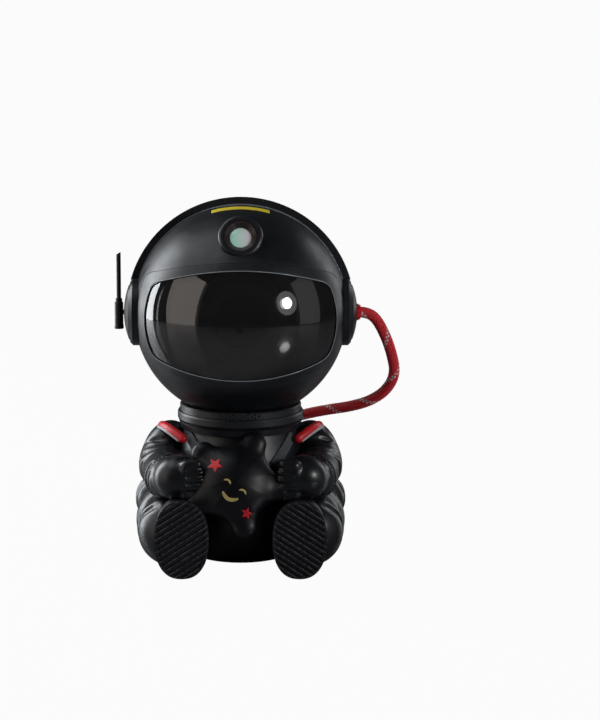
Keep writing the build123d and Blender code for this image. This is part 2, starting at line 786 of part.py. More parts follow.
def neck_dish():
    """The dish under the helmet, with a pocket for the magnet."""
    outline = ((0, collar_low_z), (collar_seat_r - fit_gap, collar_low_z),
               (collar_seat_r - fit_gap, seat_low_z), (0, seat_low_z))
    dish = turned(outline, (0, 0, 0), (0, 0, 1)) - ball(ball_r + 2.5 * run_gap)
    dish -= rod((0, 0, collar_low_z - 1), (0, 0, collar_low_z + magnet_wall), magnet_r + fit_gap)
    dish -= rod((0, -collar_r, microphone_z), (0, -collar_seat_r + microphone_length + fit_gap, microphone_z),
                microphone_r + fit_gap)
    return one(dish)


def neck_magnet():
    return one(turned(((magnet_bore_r, collar_low_z), (magnet_r, collar_low_z),
                       (magnet_r, collar_low_z + magnet_wall - fit_gap),
                       (magnet_bore_r, collar_low_z + magnet_wall - fit_gap)), (0, 0, 0), (0, 0, 1)))


def seat_ring():
    """The soft ring that the ball rests on and that turns in the collar."""
    top = collar_top_z - seat_top_gap
    ring = turned(((seat_in_r, seat_low_z), (seat_out_r, seat_low_z), (seat_out_r, top),
                   (seat_in_r, top)), (0, 0, 0), (0, 0, 1))
    return one(ring - ball(ball_r + run_gap))


# ---------------------------------------------------------------- body
def body_form(grow, low=body_low_z, top=collar_low_z):
    """The body's barrel, grown outwards by grow."""
    side = ThreePointArc((body_low_r + grow, body_low_z), (body_mid_r + grow, body_mid_z),
                         (body_top_r + grow, collar_low_z))
    rest = Polyline(side @ 1, (0, collar_low_z), (0, body_low_z), side @ 0)
    barrel = revolve((Plane.XZ * make_face([side, rest])), Axis.Z, 360)
    return barrel & rod((0, 0, low), (0, 0, top), 2 * body_mid_r)


def body_shell(side):
    """The front (side -1) or rear (side 1) half of the hollow body."""
    shell = body_form(0) - body_form(-body_wall, top=collar_low_z - body_wall)
    for x in (-screw_x, screw_x):
        y = side * screw_y
        boss = rod((x, y, body_low_z), (x, y, body_low_z + screw_boss_height), screw_boss_r)
        shell += (boss & body_form(-1))
        shell -= rod((x, y, 0), (x, y, body_low_z + screw_depth), screw_r)
    shell &= block((-big, 0, 0), (big, side * big, big)) if side > 0 else block((-big, -big, 0),
                                                                                (big, 0, big))
    if side > 0:
        shell -= block((-usb_w / 2 - fit_gap, 20, usb_z - usb_h / 2 - fit_gap),
                       (usb_w / 2 + fit_gap, 60, usb_z + usb_h / 2 + fit_gap))
    return one(shell)


def base_plate():
    """The round plate under the body, with pillars for the power board."""
    plate = Pos(0, 0, pad_wall) * extrude(Circle(base_r), amount=base_wall)
    for x in (-screw_x, screw_x):
        for y in (-screw_y, screw_y):
            plate -= rod((x, y, 0), (x, y, body_low_z + 1), screw_r)
            plate -= rod((x, y, 0), (x, y, pad_wall + screw_head_wall), screw_head_r + fit_gap)
    for x in (-power_half_w + 3, power_half_w - 3):
        plate += rod((x, power_front_y + 3, pad_wall + 0.5), (x, power_front_y + 3, power_low_z), 2.0)
    return one(plate)


def base_screws():
    """Four countersunk screws up through the base plate into the shells."""
    screws = []
    for x in (-screw_x, screw_x):
        for y in (-screw_y, screw_y):
            cap = rod((x, y, pad_wall), (x, y, pad_wall + screw_head_wall), screw_head_r)
            socket = rod((x, y, 0), (x, y, pad_wall + 0.6 * screw_head_wall), screw_socket_r)
            shank = rod((x, y, pad_wall + 0.5), (x, y, body_low_z + screw_depth - 0.5), screw_r - fit_gap)
            screws.append(one(cap + shank - socket))
    return Compound(children=screws)


def base_pad():
    """The round non-slip pad under the base plate, its lower edge bevelled."""
    edge = 0.5
    return one(turned(((0, 0), (pad_r - edge, 0), (pad_r, edge), (pad_r, pad_wall), (0, pad_wall)),
                      (0, 0, 0), (0, 0, 1)))


def ballast_weight():
    return block((-ballast_half_w, ballast_front_y, body_low_z),
                 (ballast_half_w, power_front_y - 3, body_low_z + ballast_height))


def power_board():
    return block((-power_half_w, power_front_y, power_low_z),
                 (power_half_w, power_front_y + power_depth, power_low_z + board_wall))


def usb_socket():
    """The metal socket in the rear of the body, open to the back."""
    back = power_front_y + power_depth + usb_overhang
    low = power_low_z + board_wall
    shell = block((-usb_w / 2, back - usb_depth, low), (usb_w / 2, back, low + usb_h))
    shell -= block((-usb_w / 2 + 0.5, back - usb_depth + 1, low + 0.6), (usb_w / 2 - 0.5, back + 1,
                                                                         low + usb_h - 0.6))
    shell += block((-usb_w / 2 + 1.6, back - usb_depth + 0.5, low + usb_h / 2 - 0.35),
                   (usb_w / 2 - 1.6, back - 1, low + usb_h / 2 + 0.35))
    return one(shell)


# ---------------------------------------------------------------- backpack
def pack_block(shrink):
    """The pack's rounded block, shrunk by the wall on all but its front."""
    solid = block((-pack_half_w + shrink, pack_front_y, pack_low_z + shrink),
                  (pack_half_w - shrink, pack_back_y - shrink, pack_top_z - shrink))
    solid = fillet(solid.edges().filter_by(Axis.Y), pack_corner_r - shrink)
    rear = solid.faces().sort_by(Axis.Y)[-1]
    return fillet(rear.edges(), (pack_corner_r - shrink) * 0.6)


def button_places():
    """The centre of each push button, in the order of button_names."""
    places = []
    for z in (button_mid_z + button_pitch_z / 2, button_mid_z - button_pitch_z / 2):
        for x in (-button_pitch_x / 2, button_pitch_x / 2):
            places.append((x, z))
    return places


def backpack_cover():
    cover = pack_block(0) - pack_block(pack_wall)
    inside = pack_back_y - pack_wall
    for x, z in button_places():
        cover -= rod((x, inside - 1, z), (x, pack_back_y + 1, z), button_r + run_gap)
    for x in (-pack_post_x, pack_post_x):
        for z in (button_mid_z - pack_post_z, button_mid_z + pack_post_z):
            cover += rod((x, pack_board_y, z), (x, inside + 0.5, z), 2.5)
    cover -= body_form(fit_gap)
    cover -= rod((0, 0, collar_low_z - 1), (0, 0, collar_top_z + 1), collar_r + fit_gap)
    cover -= rod(cord_end, cord_end + cord_out * (low_gland_length + 4), gland_r + fit_gap)
    return one(cover)


def push_button(x, z):
    """A round cap with a retaining flange inside the cover and a stem behind it."""
    inside = pack_back_y - pack_wall
    top = pack_back_y + button_proud
    return one(turned(((0, 0), (button_r - 0.9, 0), (button_r, 0.7), (button_r, top - inside),
                       (button_r + button_flange, top - inside),
                       (button_r + button_flange, top - inside + button_flange_wall),
                       (stem_r, top - inside + button_flange_wall),
                       (stem_r, top - stem_tip_y), (0, top - stem_tip_y)), (x, top, z), (0, -1, 0)))


def button_board():
    low = button_mid_z - pack_post_z - 3
    return block((-pack_post_x - 1.5, pack_board_y - pack_board_wall, low),
                 (pack_post_x + 1.5, pack_board_y, 2 * button_mid_z - low))


def button_switches():
    """Four push switches on the button board, one behind each stem."""
    found = []
    half = switch_side / 2
    for x, z in button_places():
        body = block((x - half, pack_board_y, z - half), (x + half, pack_board_y + switch_height, z + half))
        plunger = rod((x, pack_board_y + 1, z), (x, stem_tip_y - button_travel - 0.05, z), stem_r)
        found.append(one(body + plunger))
    return Compound(children=found)


# ---------------------------------------------------------------- limbs, left side
def cuff_solid(grow):
    """The cuff: a sleeve end with two beads, its axis turned inwards."""
    length = 7.0
    r = cuff_r + grow
    bead = cuff_bead_r * 0.5
    outline = ((0, -length / 2), (r - 0.5, -length / 2), (r + bead, -length / 2 + bead),
               (r + bead, -0.8), (r, 0), (r + bead, 0.8), (r + bead, length / 2 - bead),
               (r - 0.5, length / 2), (0, length / 2))
    way = Vector(-sin(radians(cuff_turn)), -cos(radians(cuff_turn)), 0)
    return turned(outline, cuff_centre, way)


def glove():
    """Palm and four fingers laid over the cushion's edge."""
    pieces = [puff(palm_centre, palm_r)]
    for i in range(finger_count):
        z = finger_low_z + finger_pitch * i
        reach = 2.5 if i in (1, 2) else 0.0
        pieces.append(capsule((finger_root_x, finger_y + 3, z), (finger_tip_x - reach, finger_y, z),
                              finger_r))
    return one(fused(pieces) - cuff_solid(fit_gap) - body_form(fit_gap))


def arm(grow=0.0):
    """The padded sleeve: three bulges and the cuff, cut to sit on the body and under the collar."""
    sleeve = fused([puff(centre, radius + grow) for centre, radius in arm_puffs] + [cuff_solid(grow)])
    sleeve -= body_form(fit_gap)
    sleeve -= rod((0, 0, 60), (0, 0, 120), collar_r + fit_gap)
    return one(sleeve)


def sole_outline(grow):
    """A squared oval standing on the table, seen from the front."""
    points = []
    count = 16
    power = 2 / 2.35
    for i in range(count):
        turn = 2 * pi * i / count
        c, s = cos(turn), sin(turn)
        x = (sole_w / 2 + grow) * abs(c) ** power * (1 if c > 0 else -1)
        z = (sole_h / 2 + grow) * abs(s) ** power * (1 if s > 0 else -1)
        points.append((x, z))
    return make_face(Spline(*points, periodic=True))


def sole_plane(y):
    return Plane(origin=(sole_x, y, sole_h / 2), x_dir=(1, 0, 0), z_dir=(0, 1, 0))


def sole():
    """The outsole with slanting tread ribs inside a rim."""
    slab_solid = extrude(sole_plane(sole_y) * sole_outline(0), amount=sole_wall)
    field = extrude(sole_plane(sole_y - 1) * sole_outline(-tread_rim), amount=1 + tread_depth)
    bars = []
    reach = hypot(sole_w, sole_h)
    count = int(reach / tread_pitch)
    for i in range(count):
        shift = (i - (count - 1) / 2) * tread_pitch
        bars.append(Pos(0, 0, shift) * Box(reach, 20, tread_width))
    comb = Pos(sole_x, sole_y, sole_h / 2) * Rot(0, tread_angle, 0) * fused(bars)
    return one(slab_solid - (field - comb))


def boot():
    """The boot behind the sole, flaring towards the leg."""
    start = sole_y + sole_wall
    solid = loft([sole_plane(start) * sole_outline(-boot_inset),
                  sole_plane(start + boot_length) * sole_outline(-boot_inset + boot_flare)])
    return one(solid - block((-big, -big, -50), (big, big, boot_lift)))


def leg():
    """The padded leg: shin, thigh and hip bulges, cut to sit on the boot, the body and the arm."""
    limb = fused([puff(*place) for place in leg_puffs])
    limb -= extrude(sole_plane(sole_y) * sole_outline(fit_gap), amount=boot_length + sole_wall)
    limb -= body_form(fit_gap)
    limb -= base_clear()
    limb -= arm(fit_gap)
    return one(limb)


def base_clear():
    """Room for the base plate below the body."""
    return extrude(Circle(base_r + 1), amount=body_low_z)


# ---------------------------------------------------------------- star cushion
def star_outline():
    """A five-pointed star with rounded tips and notches, upright about the origin."""
    points = []
    for i in range(5):
        for radius, turn in ((star_tip_r, 90 + 72 * i), (star_notch_r, 126 + 72 * i)):
            points.append((radius * cos(radians(turn)), radius * sin(radians(turn))))
    face = make_face(Polyline(*points, close=True))
    tips = [v for v in face.vertices() if hypot(v.X, v.Y) > (star_tip_r + star_notch_r) / 2]
    face = fillet(tips, star_tip_round)
    notches = [v for v in face.vertices() if hypot(v.X, v.Y) < star_notch_r + 0.01]
    return fillet(notches, star_notch_round)


def star_cushion():
    """The padded star: a bevelled outline with a fuller middle."""
    outline = star_outline()
    solid = extrude(outline, amount=star_half, taper=star_taper)
    solid += mirror(solid, about=Plane.XY)
    solid += scale(Sphere(1), by=star_puff)
    place = Pos(*star_centre) * Rot(90 - star_lean, 0, 0) * Rot(0, 0, -star_turn)
    return place * solid


# ---------------------------------------------------------------- straps
def strap_tube(shift, radius):
    """A tube over the shoulder with ball ends."""
    points = [tuple(a + b for a, b in zip(point, shift)) for point in strap_path]
    path = ThreePointArc(*points)
    tube = sweep(Plane(origin=path @ 0, z_dir=path % 0) * Circle(radius), path=path)
    for end in (points[0], points[-1]):
        tube += Pos(*end) * Sphere(radius)
    return tube


def shoulder_strap(sleeve):
    return one(strap_tube((0, 0, 0), strap_r) - sleeve - body_form(fit_gap))


def strap_piping(sleeve, strap):
    """The thin pale cord sewn along the strap's outer edge."""
    return one(strap_tube((2.4, 0, -1.0), piping_r) - strap - sleeve - body_form(fit_gap))


def harness_strap(sleeve):
    """A flat strap on the chest, from the collar down to the armpit."""
    half = harness_w / 2
    outline = Polyline((harness_top_x - half, collar_low_z), (harness_top_x + half, collar_low_z),
                       (harness_low_x + half, harness_low_z), (harness_low_x - half, harness_low_z),
                       close=True)
    prism = extrude(Plane.XZ * make_face(outline), amount=60)
    strip = (body_form(fit_gap + harness_wall) - body_form(fit_gap / 2)) & prism
    return one(strip - sleeve)


# ---------------------------------------------------------------- tether cord
def cord_radii():
    """The largest arc for each corner of the cord's route."""
    radii = []
    for a, b, c in zip(cord_points, cord_points[1:], cord_points[2:]):
        before = Vector(*b) - Vector(*a)
        after = Vector(*c) - Vector(*b)
        half = radians(before.get_angle(after)) / 2
        radii.append(0.45 * min(before.length, after.length) / tan(half))
    return radii


def tether_cord():
    radii = cord_radii()
    path = FilletPolyline(*cord_points, radius=radii)
    tube = sweep(Plane(origin=path @ 0, z_dir=path % 0) * Circle(cord_r), path=path)
    print("cord length", round(path.length, 1), "radii", [round(r, 1) for r in radii])
    print("cord volume", round(tube.volume, 1), "section x length", round(pi * cord_r ** 2 * path.length, 1))
    return one(tube)


def gland_upper():
    """The short rubber boot on the ear cap, its end round about the ball's centre."""
    tip = gland_end + 2
    flange = ear_dome_x + gland_flange
    boot_solid = turned(((0, ear_dome_x - 0.5), (gland_r, ear_dome_x - 0.5), (gland_r, flange),
                         (gland_tip_r, flange + 0.4), (gland_tip_r, tip), (0, tip)), head, (1, 0, 0))
    boot_solid &= ball(gland_end)
    cap = Pos(head + Vector(ear_dome_x - dome_bend(), 0, 0)) * Sphere(dome_bend())
    return one(boot_solid - cap)


def gland_lower():
    """The boot on the pack's side that the cord enters."""
    return one(turned(((0, 0), (gland_tip_r, 0), (gland_r, low_gland_length * 0.5),
                       (gland_r, low_gland_length), (0, low_gland_length)), cord_end, cord_out))


def save(name, shape):
    """Writes one sub-part as parts/NAME.step."""
    export_step(shape, os.path.join("parts", name + ".step"))


def save_sides(name, shape):
    """Writes the left piece and its mirror image as two sub-parts."""
    save(name + "_left", shape)
    save(name + "_right", mirrored(shape))


def save_both(name, shape):
    """Writes the left piece and its mirror image as one sub-part of two solids."""
    save(name, Compound(children=[shape, mirrored(shape)]))


def save_helmet():
    save("helmet_front_shell", helmet_front_shell())
    save("helmet_rear_shell", helmet_rear_shell())
    save("visor_frame", visor_frame())
    save("visor_window", visor_window())
    save("ear_cup_left", ear_cup(1))
    save("ear_cup_right", ear_cup(-1))
    save("antenna_base", antenna_base())
    save("antenna_rod", antenna_rod())
    save("gland_upper", gland_upper())
    save("steel_pad", steel_pad())


def save_optics():
    save("laser_bezel", laser_bezel())
    save("laser_lens", laser_lens())
    save("grating_gear", grating_gear())
    save("grating_pinion", grating_pinion())
    save("laser_module", laser_module())
    save("laser_motor", laser_motor())
    save("laser_bracket", laser_bracket())
    save("chassis_plate", chassis_plate())
    save("chassis_drum", chassis_drum())
    save("lens_barrel", lens_barrel())
    save("projector_lens", projector_lens())
    save("lens_ring", lens_ring())
    save("nebula_wheel", nebula_wheel())
    save("wheel_motor", wheel_motor())
    save("led_board", led_board())
    save("heat_sink", heat_sink())
    save("driver_board", driver_board())


def save_neck_and_body():
    save("seat_ring", seat_ring())
    save("neck_collar", neck_collar())
    save("collar_cloth", one(cloth_strip(0)))
    save("microphone", microphone())
    save("neck_dish", neck_dish())
    save("neck_magnet", neck_magnet())
    save("body_front_shell", body_shell(-1))
    save("body_rear_shell", body_shell(1))
    save("base_plate", base_plate())
    save("base_screws", base_screws())
    save("base_pad", base_pad())
    save("ballast_weight", ballast_weight())
    save("power_board", power_board())
    save("usb_socket", usb_socket())


def save_backpack():
    save("backpack_cover", backpack_cover())
    save("button_board", button_board())
    save("button_switches", button_switches())
    for name, (x, z) in zip(button_names, button_places()):
        save("button_" + name, push_button(x, z))
    save("tether_cord", tether_cord())
    save("gland_lower", gland_lower())


def save_limbs():
    sleeve = arm()
    hand = glove()
    strap = shoulder_strap(sleeve)
    save_sides("arm", sleeve)
    shoe = one(boot() - hand)
    save_both("gloves", hand)
    save_both("legs", leg())
    save_both("boots", shoe)
    outsole = sole()
    save_both("soles", outsole)
    save_both("shoulder_straps", strap)
    save_both("strap_piping", strap_piping(sleeve, strap))
    save_both("harness_straps", harness_strap(sleeve))
    star = star_cushion() - body_form(fit_gap)
    for piece in (hand, shoe, outsole):
        star = star - piece - mirrored(piece)
    save("star_cushion", largest(star))


os.makedirs("parts", exist_ok=True)
save_helmet()
save_optics()
save_neck_and_body()
save_backpack()
save_limbs()
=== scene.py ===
"""Looks of the astronaut night-sky projector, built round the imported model.

Fields, sculpted shapes and places on the object are in millimetres. The camera, the lamps and the points of
finished meshes are in metres. x is the wearer's left, -y is the front and z is up.
"""
import json
import math

import bmesh
import bpy
import numpy as np
import openvdb
from mathutils import Matrix, Vector
from mathutils.bvhtree import BVHTree


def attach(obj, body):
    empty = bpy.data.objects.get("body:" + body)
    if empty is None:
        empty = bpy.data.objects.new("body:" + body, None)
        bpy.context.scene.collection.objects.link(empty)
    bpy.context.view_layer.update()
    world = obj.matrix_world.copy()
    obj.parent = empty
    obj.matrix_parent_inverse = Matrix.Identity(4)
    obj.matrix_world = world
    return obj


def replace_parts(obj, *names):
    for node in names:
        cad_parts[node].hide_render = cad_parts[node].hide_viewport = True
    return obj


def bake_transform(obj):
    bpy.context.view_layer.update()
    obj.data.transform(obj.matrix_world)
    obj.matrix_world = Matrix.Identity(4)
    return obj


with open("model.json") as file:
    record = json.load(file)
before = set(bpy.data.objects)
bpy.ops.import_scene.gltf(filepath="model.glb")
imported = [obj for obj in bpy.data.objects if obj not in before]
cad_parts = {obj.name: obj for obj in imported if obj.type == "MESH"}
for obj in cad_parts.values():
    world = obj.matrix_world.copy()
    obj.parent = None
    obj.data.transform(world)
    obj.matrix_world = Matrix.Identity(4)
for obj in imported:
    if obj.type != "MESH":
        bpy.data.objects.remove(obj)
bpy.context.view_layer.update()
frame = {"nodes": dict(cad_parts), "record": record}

MM = 0.001
HEAD = Vector((0, 0, 0.14857))           # centre of the ball helmet

# ---------------------------------------------------------------- camera, floor and lights
VIEW_ELEVATION = math.radians(10.0)
VIEW_DISTANCE = 1.2
VIEW_TARGET = Vector((0, 0, 0.1193))
VIEW_SHIFT = 0.0825                      # the object stands left of the picture's middle
VIEW_HEIGHT = 0.4342                     # what the picture takes in at the object, from top to bottom
BACKDROP = (0.965, 0.965, 0.965, 1)     # what the camera sees behind the object
ROOM = (0.034, 0.036, 0.040, 1)         # what everything else sees there
TABLE = (0.26, 0.26, 0.27, 1)
TABLE_WHITE = 0.963                     # share of plain white in what the camera sees of the table
TABLE_HALF = 6.0
LAMP_TARGET = (0, 0, 0.12)


def aim(thing, place, target):
    thing.location = place
    thing.rotation_euler = (Vector(target) - Vector(place)).to_track_quat("-Z", "Y").to_euler()


def camera():
    data = bpy.data.cameras.new("camera")
    data.sensor_fit = "VERTICAL"
    data.angle_y = 2 * math.atan(VIEW_HEIGHT / 2 / VIEW_DISTANCE)
    data.shift_x = VIEW_SHIFT
    thing = bpy.data.objects.new("camera", data)
    bpy.context.collection.objects.link(thing)
    back = Vector((0, -math.cos(VIEW_ELEVATION), math.sin(VIEW_ELEVATION)))
    aim(thing, VIEW_TARGET + back * VIEW_DISTANCE, VIEW_TARGET)
    bpy.context.scene.camera = thing


def softbox(name, place, size, power, colour=(1, 1, 1), shape="RECTANGLE"):
    """A lamp face of its own size, in metres, turned to the object."""
    data = bpy.data.lights.new(name, "AREA")
    data.shape = shape
    data.size, data.size_y = size
    data.energy = power
    data.color = colour
    thing = bpy.data.objects.new(name, data)
    bpy.context.collection.objects.link(thing)
    aim(thing, place, LAMP_TARGET)


def lights():
    softbox("rim_left", (-0.88, 0.46, 0.36), (0.45, 1.0), 12.0, (0.93, 0.97, 1))
    softbox("panel_left", (-0.95, -0.42, 0.42), (0.75, 0.9), 2.3, (1, 0.92, 0.86))
    softbox("top", (-0.45, -0.05, 1.0), (0.8, 0.5), 2.2, (0.95, 0.98, 1))
    softbox("rim_right", (0.78, 0.75, 0.30), (0.3, 0.9), 2.0, (0.93, 0.97, 1))
    softbox("panel_right", (0.95, -0.20, 0.35), (0.5, 0.7), 0.35)
    softbox("round_right", (0.80, -0.65, 0.40), (0.2, 0.2), 3.0, shape="DISK")
    softbox("round_halo", (0.86, -0.70, 0.42), (0.46, 0.46), 0.5, shape="DISK")


def backdrop():
    """White to the camera and dim to everything else, so that dark plastic keeps its depth."""
    world = bpy.data.worlds.new("studio")
    bpy.context.scene.world = world
    world.use_nodes = True
    nodes, links = world.node_tree.nodes, world.node_tree.links
    seen = nodes["Background"]
    seen.inputs["Color"].default_value = BACKDROP
    felt = nodes.new("ShaderNodeBackground")
    felt.inputs["Color"].default_value = ROOM
    path = nodes.new("ShaderNodeLightPath")
    mix = nodes.new("ShaderNodeMixShader")
    links.new(path.outputs["Is Camera Ray"], mix.inputs["Fac"])
    links.new(felt.outputs[0], mix.inputs[1])
    links.new(seen.outputs[0], mix.inputs[2])
    links.new(mix.outputs[0], nodes["World Output"].inputs["Surface"])


def floor():
    """A wide table top that fades into the backdrop and keeps the shadow under the object."""
    mesh = bpy.data.meshes.new("floor")
    corners = [(x * TABLE_HALF, y * TABLE_HALF, 0) for x, y in ((-1, -1), (1, -1), (1, 1), (-1, 1))]
    mesh.from_pydata(corners, [], [(0, 1, 2, 3)])
    thing = bpy.data.objects.new("floor", mesh)
    bpy.context.collection.objects.link(thing)
    table = bpy.data.materials.new("floor_white")
    table.use_nodes = True
    nodes, links = table.node_tree.nodes, table.node_tree.links
    nodes["Principled BSDF"].inputs["Base Color"].default_value = TABLE
    nodes["Principled BSDF"].inputs["Roughness"].default_value = 0.13
    glow = nodes.new("ShaderNodeEmission")
    glow.inputs["Color"].default_value = (1, 1, 1, 1)
    path = nodes.new("ShaderNodeLightPath")
    share = nodes.new("ShaderNodeMath")
    share.operation = "MULTIPLY"
    share.inputs[1].default_value = TABLE_WHITE
    mix = nodes.new("ShaderNodeMixShader")
    links.new(path.outputs["Is Camera Ray"], share.inputs[0])
    links.new(share.outputs[0], mix.inputs["Fac"])
    links.new(nodes["Principled BSDF"].outputs[0], mix.inputs[1])
    links.new(glow.outputs[0], mix.inputs[2])
    links.new(mix.outputs[0], nodes["Material Output"].inputs["Surface"])
    mesh.materials.append(table)


# ---------------------------------------------------------------- materials
class Finish:
    """One node material, built a step at a time round a Principled shader."""

    def __init__(self, name):
        self.material = bpy.data.materials.new(name)
        self.material.use_nodes = True
        self.nodes = self.material.node_tree.nodes
        self.links = self.material.node_tree.links
        self.shader = self.nodes["Principled BSDF"]
        self.here = self.add("ShaderNodeTexCoord").outputs["Object"]

    def add(self, kind, inputs=None, **settings):
        node = self.nodes.new(kind)
        for key, value in settings.items():
            setattr(node, key, value)
        for key, value in (inputs or {}).items():
            self.feed(node.inputs[key], value)
        return node

    def feed(self, socket, value):
        if isinstance(value, bpy.types.NodeSocket):
            self.links.new(value, socket)
        else:
            socket.default_value = value

    def set(self, **values):
        for key, value in values.items():
            self.feed(self.shader.inputs[key.replace("_", " ")], value)

    def noise(self, size_mm, detail=3.0, stretch=None):
        where = self.here
        if stretch:
            scaled = self.add("ShaderNodeVectorMath", {0: where, 1: stretch}, operation="MULTIPLY")
            where = scaled.outputs[0]
        node = self.add("ShaderNodeTexNoise", {"Vector": where, "Scale": 1000 / size_mm, "Detail": detail})
        return node.outputs["Fac"]

    def span(self, value, low, high, start=0.3, end=0.7):
        """Maps start to low and end to high."""
        node = self.add("ShaderNodeMapRange", {0: value, 1: start, 2: end, 3: low, 4: high})
        return node.outputs[0]

    def mix(self, share, first, second):
        node = self.add("ShaderNodeMix", data_type="RGBA")
        self.feed(node.inputs[0], share)
        self.feed(node.inputs[6], first)
        self.feed(node.inputs[7], second)
        return node.outputs[2]

    def maths(self, operation, first, second=0.0):
        return self.add("ShaderNodeMath", {0: first, 1: second}, operation=operation).outputs[0]

    def relief(self, *layers):
        """Stacks bump layers, each a height and its depth in millimetres."""
        normal = None
        for height, depth_mm in layers:
            depth = {"Height": height, "Strength": 1.0, "Distance": depth_mm * MM}
            node = self.add("ShaderNodeBump", depth)
            if normal:
                self.feed(node.inputs["Normal"], normal)
            normal = node.outputs[0]
        self.set(Normal=normal)


def grey(value, blue=0.0):
    return (value, value * (1 + blue * 0.5), value * (1 + blue), 1)


def moulded(name, dark, light, rough, grain_mm=0.35, grain_depth=0.006, ior=1.5):
    """Injection-moulded plastic: cloudy tone, fine grain, faint sink waves, and a painted highlight that
    makes the edges lighter.
    """
    f = Finish(name)
    tone = f.mix(f.span(f.noise(28), 0, 1), dark, light)
    # painted highlight: convex edges, found by pointiness, are made lighter in colour
    edge = f.add("ShaderNodeNewGeometry").outputs["Pointiness"]
    painted_edge_highlight = tuple(min(1, c * 1.8 + 0.01) for c in light[:3]) + (1,)
    tone = f.mix(f.span(edge, 0, 0.6, 0.52, 0.62), tone, painted_edge_highlight)
    handled = f.span(f.noise(11, 4), rough - 0.05, rough + 0.06)
    f.set(Base_Color=tone, Roughness=handled, IOR=ior)
    f.relief((f.noise(grain_mm, 2), grain_depth), (f.noise(9, 2), 0.02))
    return f.material


def smoked_window():
    """Tinted half-mirror sheet: the optics show darkly through a strong clear reflection."""
    f = Finish("visor_smoke")
    tint = f.mix(f.span(f.noise(40), 0, 1), (0.010, 0.009, 0.009, 1), (0.016, 0.015, 0.015, 1))
    f.set(Base_Color=tint, IOR=2.0, Alpha=0.62)
    f.set(Roughness=f.span(f.noise(5), 0.004, 0.016))
    return f.material


def ringed_glass(name, deep, pale, coating, ring_mm):
    """Coated lens or film: faint rings about the optical axis and a coloured bloom."""
    f = Finish(name)
    parts = f.add("ShaderNodeSeparateXYZ", {0: f.here})
    drop = f.maths("SUBTRACT", parts.outputs["Z"], HEAD.z)
    across = f.maths("MULTIPLY", parts.outputs["X"], parts.outputs["X"])
    up = f.maths("MULTIPLY", drop, drop)
    radius = f.maths("SQRT", f.maths("ADD", across, up))
    rings = f.maths("SINE", f.maths("MULTIPLY", radius, 2 * math.pi * 1000 / ring_mm))
    tone = f.mix(f.span(rings, 0, 1, -1, 1), deep, pale)
    tone = f.mix(f.span(f.noise(7, 4), 0, 0.7), tone, coating)
    f.set(Base_Color=tone, Roughness=f.span(f.noise(2), 0.03, 0.10), IOR=1.6)
    f.set(Coat_Weight=1.0, Coat_Roughness=0.02)
    return f.material


def coated_lens():
    """The laser window: pale green on one side turning pink, as its coating does, with a faint painted glow
    that brightens it.
    """
    f = Finish("laser_coated_glow")
    parts = f.add("ShaderNodeSeparateXYZ", {0: f.here})
    side = f.span(parts.outputs["X"], 0, 1, -0.004, 0.005)
    tone = f.mix(side, (0.36, 0.76, 0.60, 1), (0.62, 0.52, 0.58, 1))
    tone = f.mix(f.span(f.noise(3), 0, 0.5), tone, (0.55, 0.62, 0.62, 1))
    f.set(Base_Color=tone, Roughness=0.08, Coat_Weight=1.0)
    # painted glow: the lens emits light in its own colour though it is no lamp
    f.set(Emission_Color=tone, Emission_Strength=0.26)
    return f.material


def rubber(name, dark, light):
    """Dusty sole rubber with a pale painted highlight line along one edge of each tread rib."""
    f = Finish(name)
    dust = f.span(f.noise(1.6, 5), 0, 1, 0.45, 0.75)
    tone = f.mix(dust, dark, light)
    parts = f.add("ShaderNodeSeparateXYZ", {0: f.here})
    out = f.maths("SUBTRACT", f.maths("ABSOLUTE", parts.outputs["X"]), SOLE_X * MM)
    up = f.maths("SUBTRACT", parts.outputs["Z"], SOLE_MID_Z * MM)
    turn = math.radians(TREAD_TURN)
    rise = f.maths("ADD", f.maths("MULTIPLY", up, math.cos(turn)), f.maths("MULTIPLY", out, math.sin(turn)))
    rise = f.maths("SUBTRACT", rise, TREAD_SHIFT * MM)
    # painted highlight: a pale line on the upper edge of each rib, broken up by noise and kept to the sole's
    # front face
    wave = f.maths("COSINE", f.maths("MULTIPLY", rise, 2 * math.pi * 1000 / TREAD_PITCH))
    broken = f.span(f.noise(1.5, 2), 0.15, 1, 0.42, 0.58)
    painted_edge_highlight = f.maths("MULTIPLY", f.span(wave, 0, 1, 0.84, 0.98), broken)
    face = f.span(parts.outputs["Y"], 1, 0, *(y * MM for y in TREAD_FRONT))
    tone = f.mix(f.maths("MULTIPLY", painted_edge_highlight, face), tone, (0.12, 0.12, 0.14, 1))
    f.set(Base_Color=tone, Roughness=f.span(f.noise(0.8), 0.42, 0.62), IOR=1.5)
    f.relief((f.noise(0.5, 3), 0.02), (f.noise(4), 0.03))
    return f.material


def metal(name, tone, rough, lines_mm=0.25):
    """Turned or rolled metal with fine directional lines."""
    f = Finish(name)
    lines = f.noise(lines_mm, 3, (1, 1, 12))
    shade = tuple(c * 0.75 for c in tone[:3]) + (1,)
    f.set(Base_Color=f.mix(lines, shade, tone), Metallic=1.0)
    f.set(Roughness=f.span(lines, rough - 0.08, rough + 0.1))
    f.relief((lines, 0.004))
    return f.material


def woven(name, dark, light, thread_mm):
    """Plain weave."""
    f = Finish(name)
    parts = f.add("ShaderNodeSeparateXYZ", {0: f.here})
    pitch = 2 * math.pi * 1000 / thread_mm
    warp = f.maths("SINE", f.maths("MULTIPLY", parts.outputs["X"], pitch))
    weft = f.maths("SINE", f.maths("MULTIPLY", parts.outputs["Z"], pitch))
    weave = f.maths("MULTIPLY", warp, weft)
    f.set(Base_Color=f.mix(f.span(weave, 0, 1, -1, 1), dark, light), Roughness=0.85)
    f.relief((weave, 0.05))
    return f.material


